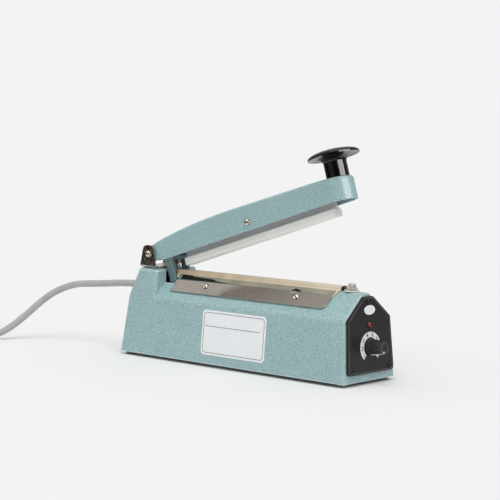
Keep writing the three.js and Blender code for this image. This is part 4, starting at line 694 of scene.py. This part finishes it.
number_radius = 11.3 * MM
number_first = math.radians(-129)
number_step = math.radians(36.4)
number_height = 3.5 * MM
last_black_number = 5
upright = axes_at((0, 0, 0), (0, 1, 0), (0, 0, 1), (1, 0, 0))
for number in range(1, 9):
    name = f"dial_number_{number}"
    text = having(bpy.data.curves.new(name, "FONT"), body=str(number), size=number_height * 1.35,
                  align_x="CENTER", align_y="CENTER", extrude=0.03 * MM, offset=0.07 * MM)
    text.materials.append(printed_black if number <= last_black_number else printed_red)
    place = dial_point(number_radius, number_first + number_step * (number - 1), print_lift + 0.02 * MM)
    figure = having(add_object(name, text),
                    matrix_world=Matrix.Translation(place) @ front_frame.to_3x3().to_4x4() @ upright)
    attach(figure, "base")

# Badge: a small oval stamped from silvered sheet, with a raised rim and a plain, slightly domed face.
# It is glued to the panel above the lamp.
badge_centre = (0.7 * MM, 63.1 * MM)
badge_half = (7.2 * MM, 4.3 * MM)
badge_silver = new_finish("silvered_badge", ((232, 234, 237), (246, 247, 248), 5), (0.28, 0.4, 3), 0.15)


def panel_oval(centre, half, grow, lift, count):
    """A ring on the panel, grown by that much outside an oval's half sizes."""
    return [panel_point(centre[0] + (half[0] + grow) * c, centre[1] + (half[1] + grow) * s, lift)
            for c, s in around(count)]


badge_form = bmesh.new()
skin(badge_form, [panel_oval(badge_centre, badge_half, -inset * MM, lift * MM, 64) for inset, lift in (
    (0, 0), (0, 0.35), (0.25, 0.5), (0.7, 0.5), (0.95, 0.3), (1.3, 0.3), (3.5, 0.42))])
new_piece("panel_badge", badge_form, badge_silver, "base", crease=25)

# Pilot lamp: a neon tube behind a domed lens of moulded red plastic, pressed into the panel from the
# front. A thin dark bezel with a rounded face stands round it.
lens_red = new_finish("red_lens", (122, 22, 26), (0.1, 0.2, 1), Transmission_Weight=0.25, IOR=1.49)
dress("pilot_lamp", lens_red, 0)
lamp_centre = (0, 49.9 * MM)
lamp_half = (2.75 * MM, 2.75 * MM)
bezel_form = bmesh.new()
skin(bezel_form, [panel_oval(lamp_centre, lamp_half, width * MM, lift * MM, 48) for width, lift in (
    (0.05, 0), (1.15, 0), (1.0, 0.5), (0.7, 0.75), (0.3, 0.75), (0.05, 0.5))], closed=True)
new_piece("lamp_bezel", bezel_form, black_screw, "base", crease=30)

# Timer: a potentiometer behind the wall, its brass shaft, and a fluted black knob with a skirt, an
# inlaid cap and a white index line.
dress("potentiometer", zinc, 0.2 * MM)
turned_brass = new_finish("turned_brass", (190, 174, 132), (0.2, 0.38, 2, 3.0), 1.0)
dress(["timer_shaft", "trip_nut", "rear_terminal"], turned_brass, 0.15 * MM)
knob_black = new_finish("glossy_black_moulding", (7, 7, 8), (0.06, 0.12, 8, 3.0))
grip_black = new_finish("satin_black_moulding", (22, 22, 24), (0.3, 0.42, 4, 3.0))
# The flute crests and edges of the knob, relay and switch are painted paler: partly wear, partly a painted
# highlight.
wear_edges(grip_black, linear(20, 20, 22), (124, 124, 118), 0.4 * MM)

knob_back = 3.4 * MM
knob_length = 16 * MM
knob_base = 7.2 * MM
knob_tip = 6.2 * MM
skirt_radius = 7.6 * MM
flutes = 28
flute_depth = 0.42 * MM
shaft_hole = 3.1 * MM
shaft_depth = 11 * MM
knob_place = front_frame @ Matrix.Translation((knob_back, 0, dial_rise))
knob_place = knob_place @ Matrix.Rotation(math.pi / 2, 4, "Y")


def fluted(radius, share, z):
    """A ring of the knob, with its flutes cut to a share of their full depth."""
    ring = []
    for i, (c, s) in enumerate(around(flutes * 8)):
        reach = radius - share * flute_depth * (0.5 - 0.5 * math.cos(math.pi / 4 * i)) ** 1.5
        ring.append((reach * c, reach * s, z))
    return ring


knob_form = bmesh.new()
knob_rings = [fluted(shaft_hole, 0, shaft_depth), fluted(shaft_hole, 0, 0)]
knob_rings += [fluted(radius, share, z * MM) for radius, share, z in (
    (skirt_radius - 0.2 * MM, 0, 0), (skirt_radius, 0, 0.2), (skirt_radius, 0, 1.1),
    (skirt_radius - 0.3 * MM, 0, 1.5), (knob_base, 0, 1.8), (knob_base, 1, 2.3))]
knob_rings += [fluted(knob_tip - inset * MM, share, knob_length - back * MM) for inset, share, back in (
    (0, 1, 1.3), (0.25, 0.5, 0.6), (0.6, 0, 0.15), (1.0, 0, 0), (1.5, 0, 0), (1.6, 0, 0.25), (1.9, 0, 0.25),
    (2.0, 0, 0.05), (5.4, 0, 0.02))]
skin(knob_form, knob_rings)
knob_form.transform(knob_place)
new_piece("timer_knob_moulding", knob_form, grip_black, "timer", ["timer_knob"], 30)

index_angle = math.radians(205)
index_half = 0.65 * MM
index_across = Vector((math.sin(index_angle), math.cos(index_angle), 0)) * index_half
index_reach = Vector((-math.cos(index_angle), math.sin(index_angle), 0))
index_rise = Vector((0, 0, 1))
index_form = bmesh.new()
for start, end, outward in (
    ((3.6 * MM, knob_length), (knob_tip - 0.9 * MM, knob_length), index_rise),
    ((knob_tip - 0.35 * MM, knob_length - 1.0 * MM), (knob_base - 0.02 * MM, 2.6 * MM), index_reach),
):
    corners_on_knob = [index_reach * radius + index_rise * z - index_across * side
                       for (radius, z), side in ((start, -1), (end, -1), (end, 1), (start, 1))]
    skin(index_form, [[corner + outward * lift * MM for corner in corners_on_knob] for lift in (-0.3, 0.28)])
index_form.transform(knob_place)
new_piece("timer_index_line", index_form, printed_white, "timer")

# Electronics on the base plate: a transformer of stacked steel sheets with a coil of enamelled wire,
# and a green board with its relay and capacitor. The relay and the microswitch are black mouldings.


def bands(material, direction, scale, distortion):
    """Even bands across one axis, from 0 to 1, as stacked sheets, wound wire or threads have them."""
    tree = material.node_tree
    return add_node(tree, "ShaderNodeTexWave", {
        "Vector": object_place(tree), "Scale": scale, "Distortion": distortion}, bands_direction=direction,
    ).outputs["Fac"]


lamination = new_finish("laminated_steel", (120, 122, 126), 0.45, 0.9)
sheets = bands(lamination, "Y", 320.0, 0.6)
raise_surface(lamination, sheets, 0.1, 0.7)
tint(lamination, sheets, (96, 98, 102), (136, 138, 142))
dress("transformer_core", lamination, 0.2 * MM)
winding = new_finish("enamelled_winding", (150, 84, 48), 0.35, 0.6)
wires = bands(winding, "Z", 260.0, 0.4)
raise_surface(winding, wires, 0.25, 0.9)
tint(winding, wires, (110, 56, 30), (178, 104, 62))
dress("transformer_coil", winding, 0.4 * MM)
board_green = new_finish("green_board", ((38, 82, 50), (54, 104, 66), 5, 4.0), 0.4)
dress("timer_board", board_green, 0.1 * MM)
dress(["timer_relay", "microswitch"], grip_black, 0.35 * MM)
sleeve = new_finish("capacitor_sleeve", ((30, 34, 46), (46, 50, 62), 6), 0.3)
dress("timer_capacitor", sleeve, 0.5 * MM)

# Label: a thin white enamelled plate with round corners, glued to the near wall. Fine black lines are
# printed round it and across it.
wall_half = (housing_high[1] - housing_low[1]) / 2
wall_lean = math.atan2(wall_half - eaves_half, eaves_height - foot_height)
wall_out = Vector((0, -math.cos(wall_lean), math.sin(wall_lean)))
wall_up = Vector((0, math.sin(wall_lean), math.cos(wall_lean)))
label_x = (-33 * MM, 50 * MM)
label_z = (8.6 * MM, 51.0 * MM)
label_radius = 4.2 * MM


def wall_point(x, rise, lift):
    """A point on the near wall, from x off the housing's middle and the height up the wall."""
    return Vector((middle_x + x, -wall_half, foot_height)) + wall_up * rise + wall_out * lift


def label_ring(inset, lift, radius_loss):
    """The label's outline, drawn in by an inset, with its round corners made smaller."""
    ring = []
    radius = label_radius - radius_loss
    x0, x1 = label_x[0] + inset + radius, label_x[1] - inset - radius
    z0, z1 = label_z[0] + inset + radius, label_z[1] - inset - radius
    for quarter, (x, z) in enumerate(((x1, z1), (x0, z1), (x0, z0), (x1, z0))):
        for step in range(9):
            angle = (quarter + step / 8) * math.pi / 2
            ring.append(wall_point(x + radius * math.cos(angle), z + radius * math.sin(angle), lift))
    return ring


label_white = new_finish("white_label_enamel", ((232, 234, 237), (243, 245, 247), 9, 3.0), 0.3,
                         Coat_Weight=0.3, Coat_Roughness=0.1)
label_form = bmesh.new()
skin(label_form, [label_ring(inset * MM, lift * MM, inset * MM) for inset, lift in (
    (0, 0.02), (0, 0.25), (0.12, 0.35), (0.5, 0.35))])
new_piece("wall_label", label_form, label_white, "base", crease=50)

line_half = 0.22 * MM
line_inset = 2.3 * MM
line_base = 0.3 * MM
line_face = 0.42 * MM
lines_form = bmesh.new()
edges = [label_ring(line_inset + grow, lift, line_inset / 2 + grow) for grow, lift in (
    (-line_half, line_base), (-line_half, line_face), (line_half, line_face), (line_half, line_base))]
skin(lines_form, zip(*edges), closed=True)
divider_x = (-28.8 * MM, 42.3 * MM)
divider_z = 35.9 * MM
skin(lines_form, [[wall_point(divider_x[x > 0], divider_z + z * line_half, lift) for x, z in square_corners]
                  for lift in (line_base, line_face)])
new_piece("label_lines", lines_form, printed_black, "base")

# Seal bed: a dark fibre strip on the ridge, a fluoropolymer tape on it and the nickel-chrome ribbon
# that makes the seal, clamped at both ends.
fibre = new_finish("dark_fibre", ((32, 35, 33), (52, 54, 52), 3, 3.0), 0.7, relief=(0.1, 0.7, 0.7, 3.0))
dress("seal_bed", fibre, 0)
plate_rear, plate_front = [corner[0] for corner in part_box("side_plate_near")]
cloth_beige = new_finish("coated_glass_cloth", (196, 174, 146), 0.42, Coat_Weight=0.2, Coat_Roughness=0.3)
warp, weft, hanging = [bands(cloth_beige, axis, 420.0, 0.3) for axis in ("X", "Y", "Z")]
tree = cloth_beige.node_tree
weave = arithmetic(tree, "ADD", warp, arithmetic(tree, "MAXIMUM", weft, hanging))
raise_surface(cloth_beige, weave, 0.05, 0.5)
along = add_node(tree, "ShaderNodeSeparateXYZ", {0: object_place(tree)})
cloud = ramp(tree, speckle(cloth_beige, 1000 / 60, 4.0), 0.35, 0.7)
top_tone = blend_colours(tree, cloud, linear(200, 179, 148), linear(218, 202, 176))
paler_front = ramp(tree, along.outputs["X"], -20 * MM, 90 * MM, 0.0, 0.7)
top_tone = blend_colours(tree, paler_front, top_tone, linear(228, 215, 194))
flap_tone = blend_colours(tree, cloud, linear(140, 140, 124), linear(160, 156, 138))
past_rear = ramp(tree, along.outputs["X"], plate_rear - 0.36 * MM, plate_rear - 1.36 * MM)
past_front = ramp(tree, along.outputs["X"], plate_front - 0.56 * MM, plate_front - 0.16 * MM)
over_ridge = ramp(tree, along.outputs["Z"], ridge_height - 0.3 * MM, ridge_height + 0.4 * MM)
beige = arithmetic(tree, "MAXIMUM", over_ridge, arithmetic(tree, "MAXIMUM", past_rear, past_front))
feed(cloth_beige, "Base Color", blend_colours(tree, beige, flap_tone, top_tone))
dress("under_tape", cloth_beige, 0)
dress("heating_element", bright_nickel, 0)

# Cover cloth: a strip of beige fluoropolymer-coated glass cloth, pulled over the bed and held along
# both edges by the clamp plates. Its rear end is turned down over the end of the bed, with the near
# corner folded down the slope beside it.
cover_low, cover_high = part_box("ptfe_cover")
roof_slope = math.atan2(ridge_height - eaves_height, eaves_half - ridge_half)
ridge_edge = Vector((0, -ridge_half, ridge_height))
slope_out = Vector((0, -math.sin(roof_slope), math.cos(roof_slope)))
slope_up = Vector((0, math.cos(roof_slope), math.sin(roof_slope)))
cover_top = cover_high[2] - 0.04 * MM
cover_rear = cover_low[0] - 0.4 * MM
cover_front = plate_front + 4.0 * MM
cloth_thickness = 0.16 * MM
tucked_reach = 11.6 * MM
cloth_lift = 0.5 * MM
corner_lift = 1.9 * MM
corner_end = -99.5 * MM
corner_rise = 3.5 * MM
bed_half = 4.45 * MM
# How far down each slope the cloth reaches from the ridge, by place along the sealer, in millimetres.
# On the near side it is folded at its rear corner, has come out from under the plate next to it and is
# puckered by a screw. In front of the plates it is cut slanting.
plate_end = plate_front / MM
front_cut = ((plate_end - 1, 11.6), (plate_end, 9.6), (plate_end + 1.6, 5.6), (plate_end + 2.6, 0.9),
             (plate_end + 4.1, 0.9))
near_reaches = ((-104.5, 0.9), (-102.6, 0.9), (-101.6, 5.2), (-100.4, 6.6), (-97.4, 0.9), (-82, 1.2),
                (-79, 2.2), (-52, 3.2), (-45, 5.2), (-21, 6.9), (-19, 11.6), (50, 11.6), (52.5, 5.6),
                (56.5, 3.4), (61, 4.2), (65.5, 6.4), (67, 11.6), *front_cut)
far_reaches = ((-104, 0.9), (-97, 0.9), (-95.5, 11.6), *front_cut)


def reach_at(reaches, x):
    """The cloth's reach down a slope at x, straight between the places of the list."""
    for (x0, reach0), (x1, reach1) in zip(reaches, reaches[1:]):
        if x <= x1 * MM:
            return (reach0 + (reach1 - reach0) * clamped((x / MM - x0) / (x1 - x0))) * MM
    return reaches[-1][1] * MM


def cover_section(x, reaches):
    """Half of the cloth's section at x, from its lower edge to the crown, as distances out and heights."""
    wave = noise.noise(Vector((x * 55, 0.3, 7.1)))
    ripple = noise.noise(Vector((x * 160, 2.3, 1.7)))
    flap = reach_at(reaches, x) + 0.1 * MM * wave
    loose = cloth_lift * clamped((tucked_reach - flap) / tucked_reach)
    loose += corner_lift * clamped((corner_end - x) / corner_rise)
    edge = ridge_edge - slope_up * flap + slope_out * (cloth_lift + loose)
    bend = ridge_edge + slope_out * cloth_lift * 0.9
    crown = cover_top + 0.04 * MM * ripple
    side = bed_half + 0.08 * MM * ripple
    points = [(-edge.y, edge.z)]
    for share in (0.33, 0.66):
        mid = edge.lerp(bend, share)
        bulge = 0.15 * MM * ripple * math.sin(math.pi * share)
        points.append((-mid.y, mid.z + bulge))
    points.append((-bend.y, bend.z))
    points += [(side + out * MM, ridge_height + rise * MM)
               for out, rise in ((0.55, 0.55), (0.1, 0.95), (0, 1.9))]
    return points + [(side - inward * MM, crown - fall * MM)
                     for inward, fall in ((0, 1.15), (0.3, 0.4), (1.0, 0.06), (2.4, 0))]


cover_form = bmesh.new()
cover_rows = []
cover_steps = 300
fold_length = 6 * MM
for i in range(cover_steps + 1):
    x = cover_rear + (cover_front - cover_rear) * i / cover_steps
    # The folded corner leans a little forward as it goes down, clear of the arm's leg.
    lean = 0.5 * max(1 - (x - cover_rear) / fold_length, 0)
    near = cover_section(x, near_reaches)
    far = cover_section(x, far_reaches)
    cover_rows.append([Vector((x + lean * max(y - bed_half, 0), -y, z)) for y, z in near]
                      + [Vector((x, y, z)) for y, z in reversed(far)])
# The rear end rolls over the end of the bed and hangs, a little narrower as it goes down.
tail_bend = 1.6 * MM
tail_drop = 9 * MM
tail_steps = 9
bend_share = 1 / 2.2
tail_rows = []
for i in range(tail_steps, 0, -1):
    share = i / tail_steps
    angle = min(share / bend_share, 1) * math.pi / 2
    fall = tail_bend * (1 - math.cos(angle)) + max(share - bend_share, 0) * tail_drop
    x = cover_rear - tail_bend * math.sin(angle)
    narrowed = 1 - 0.15 * share
    tail_rows.append([Vector((x, max(min(point.y, bed_half), -bed_half) * narrowed,
                              max(point.z, cover_top - 2.4 * MM) - fall)) for point in cover_rows[0]])
grid = [[cover_form.verts.new(point) for point in row] for row in tail_rows + cover_rows]
for first, second in zip(grid, grid[1:]):
    for i in range(len(first) - 1):
        cover_form.faces.new((first[i], first[i + 1], second[i + 1], second[i]))
flat_area = sum(face.calc_area() for face in cover_form.faces)
cover = new_piece("cover_cloth", cover_form, cloth_beige, "base", ["ptfe_cover"], 60)
having(cover.modifiers.new("cloth_thickness", "SOLIDIFY"), thickness=cloth_thickness, offset=-1)

# Dark sheets: black coated cloth, cut in two strips and laid on both slopes under the cover. They
# are seen only where the cover has lifted, partly as insulating cloth and partly as a painted shadow
# in the gap under the lifted cover.
# Near-black sheet colour: partly the cloth's own, partly a painted shadow under the lifted cover.
sheet_black_and_gap_shadow = new_finish("black_cloth_and_gap_shadow", ((16, 22, 20), (30, 38, 36), 3), 0.5,
                         Specular_IOR_Level=0.2)
sheet_ends = (plate_rear + 0.24 * MM, plate_front - 0.76 * MM)
sheet_form = bmesh.new()
section = [ridge_edge - slope_up * reach * MM + slope_out * lift * MM
           for reach, lift in ((0.4, 0.06), (0.4, 0.2), (13, 0.2), (13, 0.06))]
for sign in (-1, 1):
    skin(sheet_form, [[(x, place.y * sign, place.z) for place in section] for x in sheet_ends])
new_piece("insulating_and_shadow_sheets", sheet_form, sheet_black_and_gap_shadow, "base")

# Clamp plates: two strips of polished nickel-plated steel along the roof slopes, each pressed on the
# cloth by two screws.
polished_nickel = new_finish("polished_nickel", (206, 200, 192), (0.02, 0.05, 8, 4.0), 1.0,
                             relief=(0.5, 0.05, 1000 / 28, 1.0))
dress(["side_plate_near", "side_plate_far"], polished_nickel, 0.2 * MM)
for side_name, sign in (("near", 1), ("far", -1)):
    outward = Vector((0, -sign * math.sin(roof_slope), math.cos(roof_slope)))
    for end, turn in (("rear", 28), ("front", 8)):
        cross_screw(f"plate_screw_{side_name}_{end}", f"side_plate_screw_{side_name}_{end}", outward,
                    clamp_screw, bright_nickel, turn)

# Front terminal: a pale insulating washer, and a nickelled thumb nut with a flange that grips the
# front end of the heating ribbon.
washer_white = new_finish("white_washer_fibre", ((212, 210, 202), (228, 227, 220), 2), 0.55)
dress("front_terminal_washer", washer_white, 0.2 * MM)
nut_nickel = new_finish("thumb_nut_nickel", (236, 232, 222), (0.16, 0.3, 3, 3.0), 0.8)
dress("front_terminal_screw", nut_nickel, 0.12 * MM)

# Hinge bracket: a strip of nickel-plated steel bent into two ears, held on the deck by two screws.
# A bolt through the ears and the arm's hub is the hinge, with a nut on its far end.
ear_nickel = new_finish("bracket_nickel", (202, 196, 186), (0.08, 0.2, 4, 4.0), 1.0)
dress("hinge_bracket", ear_nickel, 0.3 * MM, 3)
cross_screw("hinge_bolt_head", "hinge_bolt", (0, -1, 0), pivot_bolt, bright_nickel, 15, 0.66)
for side_name in ("near", "far"):
    cross_screw(f"bracket_screw_head_{side_name}", f"bracket_screw_{side_name}", (0, 0, 1), deck_screw, zinc,
                40)
dress("hinge_nut", bright_nickel, 0.2 * MM)

# Press arm: the second casting, a long inverted channel with a hub at its rear, two legs into the
# housing and a boss under the nose for the knob's screw. Its long top edges are well rounded.
arm_pivot = Vector(next(joint["pos_m"] for joint in frame["joints"] if joint["name"] == "arm_press"))
arm_angle = math.radians(16.7)
arm_along = Vector((math.cos(arm_angle), 0, math.sin(arm_angle)))
arm_square = Vector((-math.sin(arm_angle), 0, math.cos(arm_angle)))
arm_half = 13.5 * MM
nose_centre = 248.8 * MM
arm_top_radius = 2.6 * MM
arm_form = bmesh.new()
arm_form.from_mesh(frame["nodes"]["arm_casting"].data)
bmesh.ops.remove_doubles(arm_form, verts=arm_form.verts, dist=0.001 * MM)
bmesh.ops.dissolve_limit(arm_form, angle_limit=math.radians(0.4), verts=arm_form.verts, edges=arm_form.edges)


def on_arm(point):
    """A point in the arm's own frame: distance along it from the pivot, across it, and square to it."""
    away = point - arm_pivot
    return away.dot(arm_along), away.y, away.dot(arm_square)


def is_top_edge(edge):
    """Whether an edge runs round the arm's top, outside the seat of the knob."""
    if len(edge.link_faces) != 2 or edge.calc_face_angle() < math.radians(60):
        return False
    rises = sorted(face.normal.dot(arm_square) for face in edge.link_faces)
    if rises[1] < 0.9 or abs(rises[0]) > 0.2:
        return False
    for vertex in edge.verts:
        along, across, square = on_arm(vertex.co)
        outer = abs(abs(across) - arm_half) < 0.1 * MM if along < nose_centre else True
        if not outer or square < 6 * MM or along < 8.9 * MM:
            return False
        if along > nose_centre and math.hypot(along - nose_centre, across) < arm_half * 0.9:
            return False
    return True


top_edges = [edge for edge in arm_form.edges if is_top_edge(edge)]
bmesh.ops.bevel(arm_form, geom=top_edges, offset=arm_top_radius, segments=5, profile=0.5, affect="EDGES",
                clamp_overlap=False)
arm_enamel = enamel("arm_enamel")
tree = arm_enamel.node_tree
coloured = tree.nodes["Principled BSDF"].inputs["Base Color"].links[0].from_socket
# Below the arm's walls, on the legs, the hub and inside, the enamel is painted darker and bluer: painted
# shade.
height_up = add_node(tree, "ShaderNodeVectorMath", {0: object_place(tree), 1: tuple(arm_square)},
                     operation="DOT_PRODUCT")
painted_shade_top = arm_pivot.dot(arm_square) - 8.6 * MM
painted_shade = ramp(tree, height_up.outputs["Value"], painted_shade_top - 2.4 * MM, painted_shade_top, 0.75, 0.0)
feed(arm_enamel, "Base Color", blend_colours(tree, painted_shade, coloured, linear(74, 104, 112)))
arm = new_piece("press_arm_casting", arm_form, arm_enamel, "arm", ["arm_casting"], 32)
break_edges(arm, 0.35 * MM, 2, 38)
having(arm.modifiers.new("even_shading", "WEIGHTED_NORMAL"), keep_sharp=True)

# Press knob: a glossy black mushroom moulding, drawn down on the nose of the arm by a zinc-plated
# screw from below. The arm's trip screw, its spring's pin and the switch's bracket are plated alike.
dress("press_knob", knob_black, 0.15 * MM)
dress(["knob_screw", "spring_pin", "microswitch_bracket", "trip_screw"], zinc, 0.15 * MM)
cross_screw("bar_pivot_head", "bar_pivot_screw", (0, -1, 0), clamp_screw, bright_nickel, 30,
            0.66, "arm")

# Pressure bar and strip: an inverted T of mill-finish aluminium that rocks on its screw inside the arm,
# with a white silicone strip under its foot that presses the bag on the hot ribbon.
mill_aluminium = new_finish("mill_aluminium", (215, 213, 215), 0.42, 0.2)
tree = mill_aluminium.node_tree
drawn_out = add_node(tree, "ShaderNodeMapping", {"Vector": object_place(tree), "Scale": (12.0, 900.0, 900.0)})
drawn_lines = noise_at(tree, drawn_out.outputs[0], 1.0, 3.0)
dull(mill_aluminium, drawn_lines, 0.34, 0.52)
tint(mill_aluminium, drawn_lines, (208, 205, 208), (230, 227, 229))
dress("pressure_bar", mill_aluminium, 0.25 * MM)
silicone = new_finish("white_silicone", ((234, 234, 227), (244, 244, 239), 7, 3.0), 0.5,
                      relief=(0.05, 0.5, 0.6), Subsurface_Weight=0.2,
                      Subsurface_Radius=(0.004, 0.0035, 0.003), Subsurface_Scale=1.0)
dress("silicone_strip", silicone, 0.3 * MM)

# Switch and spring under the slot: the trip screw's end presses the plunger when the arm is closed,
# and the spring draws the legs forward to lift the arm again.
plunger_white = new_finish("plunger_moulding", ((216, 212, 202), (232, 228, 220), 1), 0.4)
dress("switch_plunger", plunger_white, 0.15 * MM)
spring_steel = new_finish("spring_steel", (176, 178, 182), (0.2, 0.34, 1.5, 3.0), 1.0)
dress("return_spring", spring_steel, 0)
